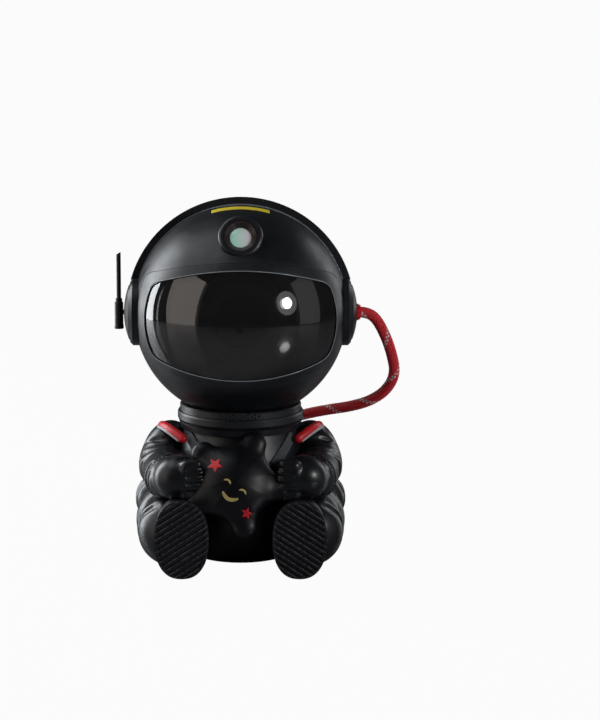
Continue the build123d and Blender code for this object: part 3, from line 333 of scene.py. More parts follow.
def thread(name, dark, light):
    """Glossy braid yarn: fibres twist along each strand."""
    f = Finish(name)
    strand = f.add("ShaderNodeTexCoord").outputs["UV"]
    twist = f.add("ShaderNodeTexWave", {"Vector": strand, "Scale": 3.0, "Distortion": 1.2, "Detail": 2.0},
                  bands_direction="DIAGONAL").outputs["Fac"]
    f.set(Base_Color=f.mix(f.span(twist, 0, 1, 0.2, 0.8), dark, light))
    f.set(Roughness=f.span(f.noise(0.6), 0.38, 0.6), Sheen_Weight=0.25)
    f.relief((twist, 0.05))
    return f.material


def painted(name, dark, light, rough=0.35):
    """Smooth coloured vinyl or print, a little uneven."""
    f = Finish(name)
    f.set(Base_Color=f.mix(f.span(f.noise(3, 4), 0, 1), dark, light))
    f.set(Roughness=f.span(f.noise(1.2), rough, rough + 0.15))
    f.relief((f.noise(0.4, 2), 0.01))
    return f.material


def circuit_board():
    """Solder mask over faint straight tracks."""
    f = Finish("board_green")
    parts = f.add("ShaderNodeTexBrick", {"Vector": f.here, "Scale": 160.0, "Mortar Size": 0.06,
                                         "Color1": (0.01, 0.10, 0.04, 1),
                                         "Color2": (0.014, 0.13, 0.05, 1),
                                         "Mortar": (0.05, 0.28, 0.12, 1)})
    f.set(Base_Color=parts.outputs["Color"], Roughness=f.span(f.noise(2), 0.25, 0.4))
    return f.material


SOLE_X, SOLE_MID_Z, SOLE_BACK_Y = 34.4, 23.3, -56.5
TREAD_PITCH, TREAD_TURN = 3.1, 33.0     # ribs of the soles, in millimetres and degrees
TREAD_SHIFT = 2.05                      # from the sole's middle to a rib's upper edge
TREAD_FRONT = (-60.4, -60.2)            # the painted highlight lines on the ribs fade out between these depths
SHELL_DARK, SHELL_LIGHT = (0.0040, 0.0050, 0.0068, 1), (0.0062, 0.0076, 0.0104, 1)
FINISHES = {
    "shell_black": moulded("shell_black", SHELL_DARK, SHELL_LIGHT, 0.40),
    "suit_black": moulded("suit_black", (0.0030, 0.0036, 0.0050, 1), (0.0052, 0.0062, 0.0086, 1), 0.34),
    "optics_black": moulded("optics_black", grey(0.05), grey(0.09), 0.24),
    "antenna_black": moulded("antenna_black", grey(0.005, 0.2), grey(0.009, 0.2), 0.36),
    "button_black": moulded("button_black", grey(0.012), grey(0.02), 0.45),
    "base_black": moulded("base_black", grey(0.006), grey(0.011), 0.5, grain_mm=0.7, grain_depth=0.03),
    "gear_white": moulded("gear_white", grey(0.62), grey(0.72), 0.4),
    "visor_smoke": smoked_window(),
    "lens_glass": ringed_glass("lens_glass", (0.006, 0.007, 0.010, 1), (0.02, 0.022, 0.026, 1),
                               (0.05, 0.02, 0.03, 1), 3.4),
    "sole_rubber": rubber("sole_rubber", (0.0030, 0.0030, 0.0055, 1), (0.010, 0.011, 0.017, 1)),
    "strap_red": painted("strap_red", (0.60, 0.005, 0.012, 1), (0.76, 0.012, 0.022, 1)),
    "piping_pale": painted("piping_pale", (0.36, 0.36, 0.39, 1), (0.5, 0.5, 0.53, 1), 0.4),
    "cord_red": thread("cord_red", (0.60, 0.003, 0.008, 1), (0.95, 0.014, 0.034, 1)),
    "cloth_pale": woven("cloth_pale", (0.45, 0.46, 0.48, 1), (0.90, 0.91, 0.93, 1), 0.5),
    "brass_parts": metal("brass_parts", (0.72, 0.52, 0.25, 1), 0.25),
    "steel_parts": metal("steel_parts", (0.6, 0.6, 0.61, 1), 0.28),
    "iron_weight": metal("iron_weight", (0.14, 0.14, 0.15, 1), 0.5, 1.5),
    "board_green": circuit_board(),
    "sink_alu": metal("sink_alu", (0.7, 0.71, 0.72, 1), 0.3),
}
CORD_WHITE = thread("cord_white", (0.62, 0.45, 0.46, 1), (0.9, 0.86, 0.86, 1))
FACE_GOLD = painted("face_gold", (0.42, 0.33, 0.10, 1), (0.58, 0.48, 0.18, 1), 0.3)
STRIP_YELLOW = painted("strip_yellow", (0.84, 0.66, 0.03, 1), (0.96, 0.80, 0.07, 1), 0.3)
# painted highlight: a light grey for the visor and hood beads, standing in for the highlight along these
# edges
EDGE_PAINTED_HIGHLIGHT = moulded("edge_painted_highlight", grey(0.16, 0.2), grey(0.26, 0.2), 0.2)
PORT_BROWN = moulded("port_brown", (0.018, 0.010, 0.009, 1), (0.032, 0.020, 0.018, 1), 0.3)
LASER_LENS = coated_lens()
STAR_BLACK = moulded("star_black", (0.0016, 0.0018, 0.0034, 1), (0.0030, 0.0034, 0.0060, 1), 0.40,
                     ior=1.38)
WEBBING = woven("webbing_grey", grey(0.04, 0.2), grey(0.11, 0.2), 0.9)


def finish_nodes():
    for row in frame["record"]["subparts"]:
        mesh = frame["nodes"][row["node"]].data
        mesh.materials.clear()
        mesh.materials.append(FINISHES[row["material_slot"]])
    own = (("laser_lens", LASER_LENS), ("laser_bezel", PORT_BROWN), ("gland_upper", FINISHES["strap_red"]))
    for node, material in own:
        frame["nodes"][node].data.materials[0] = material


# ---------------------------------------------------------------- making meshes
def piece(name, points, faces, materials, body):
    """A smooth mesh that rides on a body, where one is given. Points are in metres."""
    mesh = bpy.data.meshes.new(name)
    mesh.from_pydata([tuple(p) for p in points], [], [tuple(f) for f in faces])
    mesh.validate()
    for material in materials:
        mesh.materials.append(material)
    mesh.polygons.foreach_set("use_smooth", [True] * len(mesh.polygons))
    thing = bpy.data.objects.new(name, mesh)
    bpy.context.collection.objects.link(thing)
    if body:
        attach(thing, body)
    return thing


class Clay:
    """A distance field over a box, in millimetres. It is shaped by soft joins, furrows and gathers, and then
    skinned. Values are below 0 inside the shape."""

    VOXEL = 0.55
    FAR = 50                            # the field where there is nothing yet
    SHELL = 4                           # how far from the surface furrows and gathers reach

    def __init__(self, low, high):
        self.low = np.array(low, float)
        axes = [np.arange(a, b, self.VOXEL, dtype=np.float32) for a, b in zip(low, high)]
        self.x, self.y, self.z = np.meshgrid(*axes, indexing="ij", sparse=True)
        self.field = np.full(tuple(len(a) for a in axes), self.FAR, np.float32)

    def ellipsoid(self, centre, radii, turn=0.0):
        """Turn is in degrees about the upright axis."""
        dx, dy, dz = (g - c for g, c in zip((self.x, self.y, self.z), centre))
        c, s = math.cos(math.radians(turn)), math.sin(math.radians(turn))
        u, v = c * dx + s * dy, c * dy - s * dx
        a, b, c = radii
        near = np.sqrt((u / a) ** 2 + (v / b) ** 2 + (dz / c) ** 2) + 1e-6
        steep = np.sqrt((u / a ** 2) ** 2 + (v / b ** 2) ** 2 + (dz / c ** 2) ** 2) + 1e-6
        return near * (near - 1) / steep

    def capsule(self, start, end, radius, end_radius):
        a, b = np.array(start, float), np.array(end, float)
        along = b - a
        dx, dy, dz = self.x - a[0], self.y - a[1], self.z - a[2]
        t = np.clip((dx * along[0] + dy * along[1] + dz * along[2]) / (along @ along), 0, 1)
        gap = np.sqrt((dx - along[0] * t) ** 2 + (dy - along[1] * t) ** 2 + (dz - along[2] * t) ** 2)
        return gap - (radius + (end_radius - radius) * t)

    def hoop(self, centre, way, radius, thick):
        """A ring about the axis that way gives."""
        way = np.array(way, float) / np.linalg.norm(way)
        dx, dy, dz = self.x - centre[0], self.y - centre[1], self.z - centre[2]
        height = dx * way[0] + dy * way[1] + dz * way[2]
        out = np.sqrt(np.maximum(dx ** 2 + dy ** 2 + dz ** 2 - height ** 2, 0)) - radius
        return np.sqrt(out ** 2 + height ** 2) - thick

    def join(self, other, soft=1.0):
        share = np.clip(0.5 + 0.5 * (self.field - other) / soft, 0, 1)
        self.field = self.field * (1 - share) + other * share - soft * share * (1 - share)

    def trim(self, other, soft=0.6):
        """Takes away what lies inside the other field."""
        other = -other
        share = np.clip(0.5 - 0.5 * (self.field - other) / soft, 0, 1)
        self.field = self.field * (1 - share) + other * share + soft * share * (1 - share)

    def near_spots(self):
        """Which samples lie near the surface, and where they are."""
        near = np.abs(self.field) < self.SHELL
        i, j, k = np.nonzero(near)
        return near, np.stack([self.x[i, 0, 0], self.y[0, j, 0], self.z[0, 0, k]], -1)

    def furrow(self, points, width, depth):
        """Presses a soft groove, or raises a fold where depth is negative, along a line of points."""
        near, spots = self.near_spots()
        gap = np.full(len(spots), 1e3)
        fade = np.zeros(len(spots))
        runs = len(points) - 1
        for n, (start, end) in enumerate(zip(points, points[1:])):
            a, along = np.array(start), np.array(end) - np.array(start)
            t = np.clip((spots - a) @ along / (along @ along), 0, 1)
            d = np.linalg.norm(spots - a - t[:, None] * along, axis=1)
            closer = d < gap
            gap = np.where(closer, d, gap)
            fade = np.where(closer, np.sin(np.pi * np.clip((n + t) / runs, 0.06, 0.94)), fade)
        self.field[near] += (depth * np.sqrt(fade) * np.exp(-((gap / width) ** 2))).astype(np.float32)

    def gathers(self, centre, way, folds, reach, depth, seed):
        """Fine folds that run across a seam and die out with distance from it."""
        way = np.array(way, float) / np.linalg.norm(way)
        near, spots = self.near_spots()
        spots = spots - np.array(centre, float)
        height = spots @ way
        side = np.cross(way, (0, 0, 1.0))
        side /= np.linalg.norm(side)
        up = np.cross(side, way)
        angle = np.arctan2(spots @ up, spots @ side)
        dice = np.random.default_rng(seed)
        wave = np.zeros(len(spots))
        for n in (folds - 3, folds, folds + 4):
            turned = n * angle + dice.uniform(0, 2 * math.pi) + 0.35 * height
            wave += np.cos(turned) * dice.uniform(0.25, 0.45)
        fade = np.exp(-((height / reach) ** 2))
        self.field[near] += (depth * wave * fade).astype(np.float32)

    def beyond(self, place, way):
        """Negative on the side of a plane that way points to."""
        return sum((c - g) * w for g, c, w in zip((self.x, self.y, self.z), place, way))

    def skin(self, name, material, mirror=False, keep_above=None):
        """The finished piece on the body, mirrored or cut flat below a height where that is asked."""
        if keep_above is not None:
            self.field = np.maximum(self.field, keep_above - self.z)
        grid = openvdb.FloatGrid(background=3.0)
        grid.copyFromArray(np.clip(self.field, -3, 3).astype(np.float32))
        points, quads = grid.convertToQuads(isovalue=0.0)
        points = (points * self.VOXEL + self.low) * MM
        if mirror:
            points = points * np.array((-1, 1, 1))
            quads = quads[:, ::-1]
        return piece(name, points, quads, [material], "root")


# ---------------------------------------------------------------- the cord
CORD_ROUTE_MM = ((70.9, 0.0, 148.57), (75.5, 0.0, 148.5), (81.5, 0.6, 144.9), (87.5, 2.0, 133.6),
                 (91.5, 4.0, 122.1), (94.0, 6.5, 110.1), (89.5, 11.0, 99.1), (80.0, 16.5, 91.1),
                 (68.0, 23.0, 86.2), (55.0, 30.0, 82.9), (42.0, 36.0, 79.2), (31.0, 40.5, 75.2))
CORD_R = 3.4 * MM
STRANDS = 12                            # each way round
STRAND_PITCH = 24 * MM                  # one turn of a strand
STRAND_WIDE, STRAND_THICK = 0.62 * MM, 0.30 * MM
STRAND_STEP = 0.55 * MM                 # between the rings of points along a strand
STRAND_RING = 6                         # points round a strand
PALE_STRANDS = (2, 3)


def cord_line():
    """The points along the cord, read from the smooth curve of its route."""
    curve = bpy.data.curves.new("cord_route", "CURVE")
    curve.dimensions = "3D"
    curve.resolution_u = 24
    spline = curve.splines.new("NURBS")
    spline.points.add(len(CORD_ROUTE_MM) - 1)
    for control, place in zip(spline.points, CORD_ROUTE_MM):
        control.co = (*(Vector(place) * MM), 1)
    spline.order_u = 3
    spline.use_endpoint_u = True
    thing = bpy.data.objects.new("cord_route", curve)
    bpy.context.collection.objects.link(thing)
    mesh = bpy.data.meshes.new_from_object(thing)
    line = np.array([v.co for v in mesh.vertices], float)
    bpy.data.objects.remove(thing)
    return line


def even_steps(line, step):
    """The same line with points at even distances."""
    runs = np.linalg.norm(np.diff(line, axis=0), axis=1)
    gone = np.concatenate([[0], np.cumsum(runs)])
    count = int(gone[-1] / step)
    stops = np.linspace(0, gone[-1], count + 1)
    return np.stack([np.interp(stops, gone, line[:, k]) for k in range(3)], 1), stops


def carried_frames(line):
    """A sideways and an upward direction at each point, carried along without twist."""
    ways = np.gradient(line, axis=0)
    ways /= np.linalg.norm(ways, axis=1)[:, None]
    side = np.cross(ways[0], (0, 1.0, 0))
    sides = []
    for way in ways:
        side = side - way * (side @ way)
        side /= np.linalg.norm(side)
        sides.append(side)
    sides = np.array(sides)
    return ways, sides, np.cross(ways, sides)


class Braid:
    """Gathers the tubes of a cord into one mesh."""

    def __init__(self):
        self.points, self.faces, self.looks, self.maps = [], [], [], []

    def tube(self, centres, wides, thicks, look):
        """An oval tube along the centres, with its half axes at each of them."""
        start, ring = len(self.points), STRAND_RING
        for centre, wide, thick in zip(centres, wides, thicks):
            for k in range(ring):
                turn = 2 * math.pi * k / ring
                self.points.append(centre + wide * math.cos(turn) + thick * math.sin(turn))
        for n in range(len(centres) - 1):
            near, far = n / ring, (n + 1) / ring
            for k in range(ring):
                m = (k + 1) % ring
                a, b = start + n * ring, start + (n + 1) * ring
                low, high = k / ring, (k + 1) / ring
                self.faces.append((a + k, a + m, b + m, b + k))
                self.looks.append(look)
                self.maps.append([(near, low), (near, high), (far, high), (far, low)])

    def piece(self, name, materials, slot):
        thing = piece(name, self.points, self.faces, materials, None)
        thing.data.polygons.foreach_set("material_index", self.looks)
        layer = thing.data.uv_layers.new(name="strands")
        layer.data.foreach_set("uv", np.array(self.maps, float).ravel())
        return thing


def braided(line, stops):
    """A core and two sets of strands that wind round it and cross over and under each other."""
    ways, sides, ups = carried_frames(line)
    braid = Braid()
    core = CORD_R - 3.4 * STRAND_THICK
    braid.tube(line, sides * core, ups * core, 0)
    weave = np.cos(STRANDS * 2 * math.pi * stops / STRAND_PITCH)
    for hand in (1, -1):
        lean = 2 * math.pi * CORD_R / STRAND_PITCH * hand
        middle = CORD_R - 1.7 * STRAND_THICK + hand * weave * STRAND_THICK * 0.75
        for strand in range(STRANDS):
            turn = 2 * math.pi * (strand / STRANDS + hand * stops / STRAND_PITCH)
            out = sides * np.cos(turn)[:, None] + ups * np.sin(turn)[:, None]
            round_ = -sides * np.sin(turn)[:, None] + ups * np.cos(turn)[:, None]
            wide = round_ - ways * lean
            wide /= np.linalg.norm(wide, axis=1)[:, None]
            look = 1 if hand == 1 and strand in PALE_STRANDS else 0
            braid.tube(line + out * middle[:, None], wide * STRAND_WIDE, out * STRAND_THICK, look)
    return braid


def tether():
    line, stops = even_steps(cord_line(), STRAND_STEP)
    cord = braided(line, stops).piece("tether_braid", [FINISHES["cord_red"], CORD_WHITE], "cord_red")
    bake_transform(cord)
    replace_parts(cord, "tether_cord")


# ---------------------------------------------------------------- the padded suit, in millimetres
CUFF = (43.5, -31.0, 54.2)
CUFF_TURN = 18.0                        # degrees inwards from straight ahead
CUFF_WAY = (-math.sin(math.radians(CUFF_TURN)), -math.cos(math.radians(CUFF_TURN)), 0.0)
CUFF_BACK = tuple(-w for w in CUFF_WAY)
SUIT = FINISHES["suit_black"]


def along_cuff(distance):
    return tuple(c + w * distance for c, w in zip(CUFF, CUFF_WAY))


def sleeve(side, seed):
    """Upper arm, elbow and forearm up to the cuff, with its two piped rings."""
    clay = Clay((24, -38, 34), (68, 24, 88))
    clay.field = clay.ellipsoid((42.5, 3.5, 68.2), (12.8, 13.5, 13.2))
    clay.join(clay.ellipsoid((46.0, 1.5, 61.0), (14.2, 15.0, 14.5)), 5.0)
    clay.join(clay.ellipsoid((46.4, -1.0, 55.5), (15.2, 15.5, 15.2)), 3.0)
    clay.join(clay.capsule((46.4, -6.0, 55.5), along_cuff(9.5), 14.6, 13.4), 3.0)
    clay.furrow(((36, -12, 76), (48, -10, 73), (57, -2, 68)), 1.5, 1.3)
    clay.furrow(((38, -18, 70), (50, -15, 68.0), (60, -8, 64)), 1.9, -0.8)
    clay.furrow(((58, -13, 66), (61.5, -5, 60), (60, -6, 46)), 1.9, 1.3)
    clay.furrow(((53, -21, 66), (59, -15, 60), (60, -12, 47)), 1.7, 1.1)
    clay.furrow(((56, -18, 64), (60.5, -10, 58), (60, -9, 47)), 1.7, -0.7)
    clay.furrow(((50, -27, 43), (56, -18, 43), (59, -8, 43)), 1.8, 0.9)
    clay.furrow(((59, 4, 70), (61.5, 2, 60), (60, 4, 48)), 2.2, 0.8)
    clay.gathers(along_cuff(2.0), CUFF_WAY, 9, 6.0, 0.4, seed)
    clay.trim(clay.beyond(along_cuff(1.2), CUFF_WAY), 1.2)
    clay.join(clay.hoop(along_cuff(-1.4), CUFF_WAY, 12.0, 1.7), 0.5)
    clay.join(clay.hoop(along_cuff(1.3), CUFF_WAY, 11.7, 1.2), 0.3)
    return clay.skin("sleeve_" + side, SUIT, side == "right")


STITCHES, STITCH_R = 34, 0.34


def stitches(side):
    """Short thread loops across the seam between the sleeve and the glove."""
    way, up = np.array(CUFF_WAY), np.array((0, 0, 1.0))
    side_way = np.cross(way, up)
    points, faces = [], []
    rings, ring = 7, 5
    for n in range(STITCHES):
        turn = 2 * math.pi * n / STITCHES
        out = side_way * math.cos(turn) + up * math.sin(turn)
        across = np.cross(way, out)
        start = len(points)
        for k in range(rings):
            share = k / (rings - 1)
            lift = 12.75 + 0.55 * math.sin(math.pi * share)
            middle = np.array(along_cuff(1.0 + 2.8 * share)) + out * lift + across * 0.9 * (share - 0.5)
            for m in range(ring):
                angle = 2 * math.pi * m / ring
                points.append((middle + STITCH_R * (math.cos(angle) * out + math.sin(angle) * across)) * MM)
        for k in range(rings - 1):
            for m in range(ring):
                a, b = start + k * ring, start + (k + 1) * ring
                faces.append((a + m, a + (m + 1) % ring, b + (m + 1) % ring, b + m))
    points = np.array(points)
    if side == "right":
        points[:, 0] *= -1
        faces = [face[::-1] for face in faces]
    return piece("cuff_stitches_" + side, points, faces, [SUIT], "root")


PALM = (36.6, -43.4, 57.0)
FINGER_ROWS = (47.6, 53.4, 58.0, 62.4, 67.0)      # heights of the finger tips
FINGER_REACH = (-1.0, 1.2, 1.8, 1.4, 0.2)         # how much further in each tip lies


def mitt(side):
    """Palm, knuckles and fingers laid over the cushion's edge."""
    clay = Clay((17, -60, 38), (58, -24, 76))
    clay.field = clay.ellipsoid(PALM, (14.4, 13.2, 13.6), -10)
    clay.join(clay.ellipsoid(along_cuff(4.0), (12.6, 9.0, 12.6), -18), 3.0)
    for z, reach in zip(FINGER_ROWS, FINGER_REACH):
        clay.join(clay.capsule((31.5, -53.0, z * 0.93 + 4.0), (25.4 - reach, -52.9, z), 3.3, 2.8), 2.6)
    for low, high in zip(FINGER_ROWS, FINGER_ROWS[1:]):
        z = (low + high) / 2
        clay.furrow(((20.5, -53.5, z), (25.0, -55.8, z), (31.0, -56.4, z * 0.93 + 4.0)), 0.95, 2.0)
    clay.gathers(along_cuff(4.5), CUFF_WAY, 9, 3.0, 0.2, 3)
    clay.join(clay.hoop(along_cuff(3.4), CUFF_WAY, 11.9, 1.3), 0.3)
    clay.trim(clay.beyond(along_cuff(2.3), CUFF_BACK), 0.4)
    return clay.skin("glove_" + side, SUIT, side == "right")


def trouser(side, seed):
    """Shin, thigh and hip of the padded trouser leg."""
    clay = Clay((14, -57, -2), (68, 30, 54))
    clay.field = clay.ellipsoid((39.8, -31.0, 22.5), (21.8, 22.5, 22.0))
    clay.join(clay.ellipsoid((40.0, -13.0, 24.0), (23.0, 21.0, 23.6)), 3.0)
    clay.join(clay.ellipsoid((48.3, 9.0, 32.0), (16.4, 16.0, 16.4)), 1.5)
    clay.furrow(((50, -42, 40), (59, -34, 29), (59, -32, 10)), 2.4, 1.6)
    clay.furrow(((57, -30, 40), (63, -20, 28), (61, -20, 8)), 2.6, 1.5)
    clay.furrow(((54, -38, 38), (61, -27, 27), (60, -26, 9)), 2.0, -0.8)
    clay.furrow(((44, -46, 41), (40, -38, 44), (30, -36, 43)), 2.2, 1.0)
    for n in range(4):
        y = 4.0 + 4.4 * n
        clay.furrow(((58, y - 2, 47), (64.5, y, 34), (60, y - 1, 20)), 1.3, 1.1)
    clay.gathers((44, -1, 28), (0.1, 1, 0.15), 9, 4.0, 0.4, seed + 1)
    return clay.skin("trouser_" + side, SUIT, side == "right", keep_above=1.2)


def shoe(side):
    """The boot between the sole and the trouser, rounded towards the ankle."""
    clay = Clay((14, -60, -2), (58, -40, 52))
    power, width, height = 2.35, 15.0, 22.5
    across, up = np.abs(clay.x - SOLE_X) / width, np.abs(clay.z - SOLE_MID_Z) / height
    oval = (across ** power + up ** power) ** (1 / power) - 1
    swell = np.clip((clay.y - SOLE_BACK_Y) / 12, 0, 1)
    clay.field = (oval * width - 0.6 * np.sin(swell * math.pi)).astype(np.float32)
    clay.trim(clay.beyond((0, -43, 0), (0, 1, 0)), 2.0)
    clay.trim(clay.beyond((0, SOLE_BACK_Y + 0.1, 0), (0, -1, 0)), 0.6)
    turns = [math.radians(turn) for turn in range(-60, 241, 30)]
    welt = [(SOLE_X + width * math.cos(t), -50.5, SOLE_MID_Z + height * math.sin(t)) for t in turns]
    clay.furrow(welt, 0.8, 1.0)
    return clay.skin("shoe_" + side, SUIT, side == "right", keep_above=0.4)


# ---------------------------------------------------------------- the star cushion
STAR_CENTRE = Vector((-2.8, -50.0, 55.0))
STAR_LEAN, STAR_TURN = 22.0, 25.0       # degrees back from upright, degrees clockwise
STAR_REACH = 25.6                       # to the middle of each round tip
STAR_MIDDLE_R, STAR_TIP_R = 18.5, 7.2
STAR_FLAT = 1.75                        # how much thinner than wide
STAR_AXES = (Matrix.Rotation(math.radians(90 - STAR_LEAN), 3, "X")
             @ Matrix.Rotation(math.radians(-STAR_TURN), 3, "Z"))


def star_cushion():
    """Five plump points that run together in a full middle."""
    clay = Clay((-42, -74, 16), (38, -28, 96))
    axes = np.array(STAR_AXES)
    dx, dy, dz = (g - c for g, c in zip((clay.x, clay.y, clay.z), STAR_CENTRE))
    u, v, w = (axes[0, k] * dx + axes[1, k] * dy + axes[2, k] * dz for k in range(3))
    for n in range(5):
        turn = math.radians(72 * n)
        along = np.clip((u * math.sin(turn) + v * math.cos(turn)) / STAR_REACH, 0, 1)
        near_u, near_v = u - along * STAR_REACH * math.sin(turn), v - along * STAR_REACH * math.cos(turn)
        gap = np.sqrt(near_u ** 2 + near_v ** 2 + (w * STAR_FLAT) ** 2)
        radius = STAR_MIDDLE_R + (STAR_TIP_R - STAR_MIDDLE_R) * along ** 0.8
        clay.join(((gap - radius) * 0.8).astype(np.float32), 5.0)
    return clay.skin("star_pad", STAR_BLACK)


INLAY_RINGS, INLAY_PROUD, INLAY_DEEP = 5, 0.22, 0.25


def on_star(cushion, name, outlines, material):
    """Thin inlays pressed into the cushion's front. Each outline is a closed loop of (u, v) in the cushion's
    own plane."""
    tree = BVHTree.FromObject(cushion, bpy.context.evaluated_depsgraph_get())
    front = STAR_AXES @ Vector((0, 0, 1))
    front = front if front.y < 0 else -front
    points, faces = [], []
    for loop in outlines:
        loop = [Vector(p) for p in loop]
        middle = sum(loop, Vector((0, 0))) / len(loop)
        start, count = len(points), len(loop)
        for k in range(INLAY_RINGS + 2):
            share = min(k, INLAY_RINGS) / INLAY_RINGS
            for p in loop:
                u, v = middle + (p - middle) * share
                place = (STAR_CENTRE + STAR_AXES @ Vector((u, v, 0))) * MM
                hit, normal, _, _ = tree.ray_cast(place + front * 0.05, -front)
                normal = normal if normal.dot(front) > 0 else -normal
                rise = INLAY_PROUD * (1 - 0.25 * share ** 6) if k <= INLAY_RINGS else -INLAY_DEEP
                points.append(hit + normal * rise * MM)
        for k in range(INLAY_RINGS + 1):
            for n in range(count):
                m = (n + 1) % count
                a, b = start + k * count, start + (k + 1) * count
                faces.append((a + n, a + m, b + m, b + n) if k else (a, b + m, b + n))
    thing = piece(name, points, faces, [material], "root")
    close(thing)


def close(thing):
    """Merges doubled points, fills the open back and turns the faces outwards."""
    mesh = bmesh.new()
    mesh.from_mesh(thing.data)
    bmesh.ops.remove_doubles(mesh, verts=mesh.verts, dist=1e-6)
    bmesh.ops.holes_fill(mesh, edges=mesh.edges)
    bmesh.ops.recalc_face_normals(mesh, faces=mesh.faces)
    mesh.to_mesh(thing.data)
    mesh.free()


def little_star(centre, radius, turn):
    loop = []
    for n in range(10):
        reach = radius if n % 2 == 0 else radius * 0.45
        angle = math.radians(turn + 36 * n)
        loop.append((centre[0] + reach * math.sin(angle), centre[1] + reach * math.cos(angle)))
    dense = []
    for a, b in zip(loop, loop[1:] + loop[:1]):
        for t in (0, 0.25, 0.5, 0.75):
            dense.append((a[0] + (b[0] - a[0]) * t, a[1] + (b[1] - a[1]) * t))
    return dense


def crescent(centre, radius, start, end, thick):
    """A curved stroke that tapers to round ends. Angles are in degrees from the star's upright."""
    outer, inner = [], []
    steps = 14
    for n in range(steps + 1):
        share = n / steps
        angle = math.radians(start + (end - start) * share)
        half = thick / 2 * (0.45 + 0.55 * math.sin(math.pi * share))
        for line, reach in ((outer, radius + half), (inner, radius - half)):
            line.append((centre[0] + reach * math.sin(angle), centre[1] + reach * math.cos(angle)))
    return outer + inner[::-1]


STAR_MARKS = (((-14.9, 3.6), 4.8, 12.0), ((13.6, -14.1), 3.5, -8.0))     # centre, radius, turn
STAR_EYES = ((-4.2, -4.0), (6.3, -5.6))
STAR_SMILE = (0.8, -6.0)                # the middles of the arcs


def star_marks(cushion):
    """Two little red stars and a plain gold smile."""
    stars = [little_star(*mark) for mark in STAR_MARKS]
    on_star(cushion, "star_stars", stars, FINISHES["strap_red"])
    strokes = [crescent(eye, 2.5, -62, 78, 0.7) for eye in STAR_EYES]
    strokes.append(crescent(STAR_SMILE, 5.7, 120, 240, 1.75))
    on_star(cushion, "star_smile", strokes, FACE_GOLD)


# ---------------------------------------------------------------- small pieces of the helmet and the chest
TRIM_R = 64.35                          # just proud of the front shell


def bead(name, line, radius_mm, material):
    """A fine closed bead on the helmet along a line of points, in metres."""
    points, faces = [], []
    count, ring = len(line), 6
    for n, place in enumerate(line):
        way = (line[(n + 1) % count] - line[n - 1]).normalized()
        out = (place - HEAD).normalized()
        side = way.cross(out)
        for k in range(ring):
            turn = 2 * math.pi * k / ring
            points.append(place + (out * math.cos(turn) + side * math.sin(turn)) * radius_mm * MM)
    for n in range(count):
        m = (n + 1) % count
        for k in range(ring):
            j = (k + 1) % ring
            faces.append((n * ring + k, n * ring + j, m * ring + j, m * ring + k))
    return piece(name, points, faces, [material], "helmet")


VISOR_CORNER, VISOR_ARCH = (51.5, 22.0), (56.5, 32.0)     # half size at the corners and at the arches


def visor_bead():
    """The inner edge of the visor's frame: a light grey bead that is a painted highlight along its bevel."""
    (w, h), (wide, high) = VISOR_CORNER, VISOR_ARCH
    flat = []
    for n in range(72):
        x = -w + 2 * w * n / 72
        flat.append((x, h + (high - h) * (1 - (x / w) ** 2)))
    for n in range(30):
        z = h - 2 * h * n / 30
        flat.append((w + (wide - w) * (1 - (z / h) ** 2), z))
    flat += [(-x, -z) for x, z in flat]
    flat = np.array(flat)
    for _ in range(9):
        flat = (np.roll(flat, 1, 0) + 2 * flat + np.roll(flat, -1, 0)) / 4
    line = [HEAD + Vector((x, -math.sqrt(TRIM_R ** 2 - x * x - z * z), z)) * MM for x, z in flat]
    bead("visor_bead", line, 0.28, EDGE_PAINTED_HIGHLIGHT)


def hood_bead():
    """The fine raised line where the hood meets the front shell, coloured light grey as a painted highlight.
    It runs back under the hood to close.
    """
    line = []
    for n in range(181):
        turn = math.radians(-104 + 208 * n / 180)
        line.append(HEAD + Vector((TRIM_R * math.sin(turn), 4.6, TRIM_R * math.cos(turn))) * MM)
    back = [p + Vector((0, 0.25 * MM, 0)) - (p - HEAD).normalized() * 0.4 * MM for p in line[::-1]]
    bead("hood_bead", line + back, 0.26, EDGE_PAINTED_HIGHLIGHT)


def slab(name, low, top, across, along, material, body, slot):
    """A closed thin sheet between two grids of points, each listed row by row."""
    row, under = along + 1, len(low)
    faces = []
    for i in range(across):
        for j in range(along):
            a = i * row + j
            quad = (a, a + row, a + row + 1, a + 1)
            faces.append(tuple(under + k for k in quad))
            faces.append(quad[::-1])
    edge = [i * row for i in range(across + 1)] + [across * row + j for j in range(1, along + 1)]
    edge += [i * row + along for i in range(across - 1, -1, -1)] + list(range(along - 1, 0, -1))
    for a, b in zip(edge, edge[1:] + edge[:1]):
        faces.append((a, b, under + b, under + a))
    return piece(name, low + top, faces, [material], body)


STRIP_HALF, STRIP_FRONT, STRIP_BACK = 17.2, -11.6, -5.0


def strip():
    """A blank yellow film on the front shell, just before the hood."""
    across, along = 40, 4
    grids = []
    for rise in (63.9, 64.2):           # radii of its two faces about the helmet's centre
        grid = []
        for i in range(across + 1):
            for j in range(along + 1):
                x = -STRIP_HALF + 2 * STRIP_HALF * i / across
                y = STRIP_FRONT + (STRIP_BACK - STRIP_FRONT) * j / along
                grid.append(HEAD + Vector((x, y, math.sqrt(rise ** 2 - x ** 2 - y ** 2))) * MM)
        grids.append(grid)
    slab("top_strip", *grids, across, along, STRIP_YELLOW, "helmet", "piping_pale")


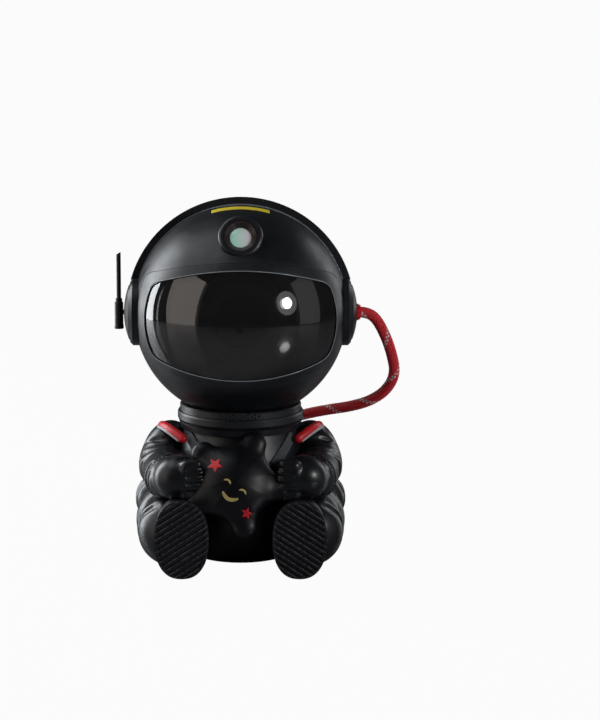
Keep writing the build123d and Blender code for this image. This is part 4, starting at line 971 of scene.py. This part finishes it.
WEBBING_RUN = ((62, 77.0), (51, 73.0), (40, 68.0), (30, 62.0))      # degrees from the front, and height
WEBBING_HALF = 3.0                      # half its width
WEBBING_THICK, WEBBING_ROLL = 0.75, 0.55
RIB_PITCH, RIB_RISE = 0.9, 0.10
CHEST_R = 36.0                          # about where it lies


def webbing_relief(share):
    """How far the strap stands off the chest, from -1 at one edge to 1 at the other."""
    roll = WEBBING_ROLL * math.exp(-((abs(share) - 0.86) / 0.10) ** 2)
    ribs = RIB_RISE * math.cos(2 * math.pi * share * WEBBING_HALF / RIB_PITCH) * (abs(share) < 0.7)
    return WEBBING_THICK + roll + ribs


def webbing(side):
    """A ribbed chest strap with rolled edges, laid on the body shell."""
    tree = BVHTree.FromObject(frame["nodes"]["body_front_shell"], bpy.context.evaluated_depsgraph_get())
    hand = -1 if side == "right" else 1
    across, along = 60, 16
    run, _ = even_steps(np.array([(math.radians(turn) * CHEST_R, z, 0.0) for turn, z in WEBBING_RUN]), 0.4)
    run = run[np.linspace(0, len(run) - 1, across + 1).astype(int), :2]
    ways = np.gradient(run, axis=0)
    low, top = [], []
    for (arc, z), (d_arc, d_z) in zip(run, ways):
        size = math.hypot(d_arc, d_z)
        for j in range(along + 1):
            share = hand * (2 * j / along - 1)
            turn = (arc - d_z / size * share * WEBBING_HALF) / CHEST_R
            inward = Vector((-hand * math.sin(turn), math.cos(turn), 0))
            height = Vector((0, 0, z + d_arc / size * share * WEBBING_HALF))
            hit, normal, _, _ = tree.ray_cast((height - inward * 100) * MM, inward)
            normal = -normal if normal.dot(inward) > 0 else normal
            low.append(hit - normal * 0.3 * MM)
            top.append(hit + normal * webbing_relief(share) * MM)
    return slab("webbing_" + side, low, top, across, along, WEBBING, "root", "suit_black")


bpy.context.scene.view_settings.view_transform = "Standard"
camera()
lights()
backdrop()
floor()
finish_nodes()
tether()
for n, side in enumerate(("left", "right")):
    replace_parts(sleeve(side, 5 + n), "arm_" + side)
    stitches(side)
    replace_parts(mitt(side), "gloves")
    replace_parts(trouser(side, 20 + 2 * n), "legs")
    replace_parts(shoe(side), "boots")
    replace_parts(webbing(side), "harness_straps")
cushion = star_cushion()
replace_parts(cushion, "star_cushion")
star_marks(cushion)
strip()
visor_bead()
hood_bead()
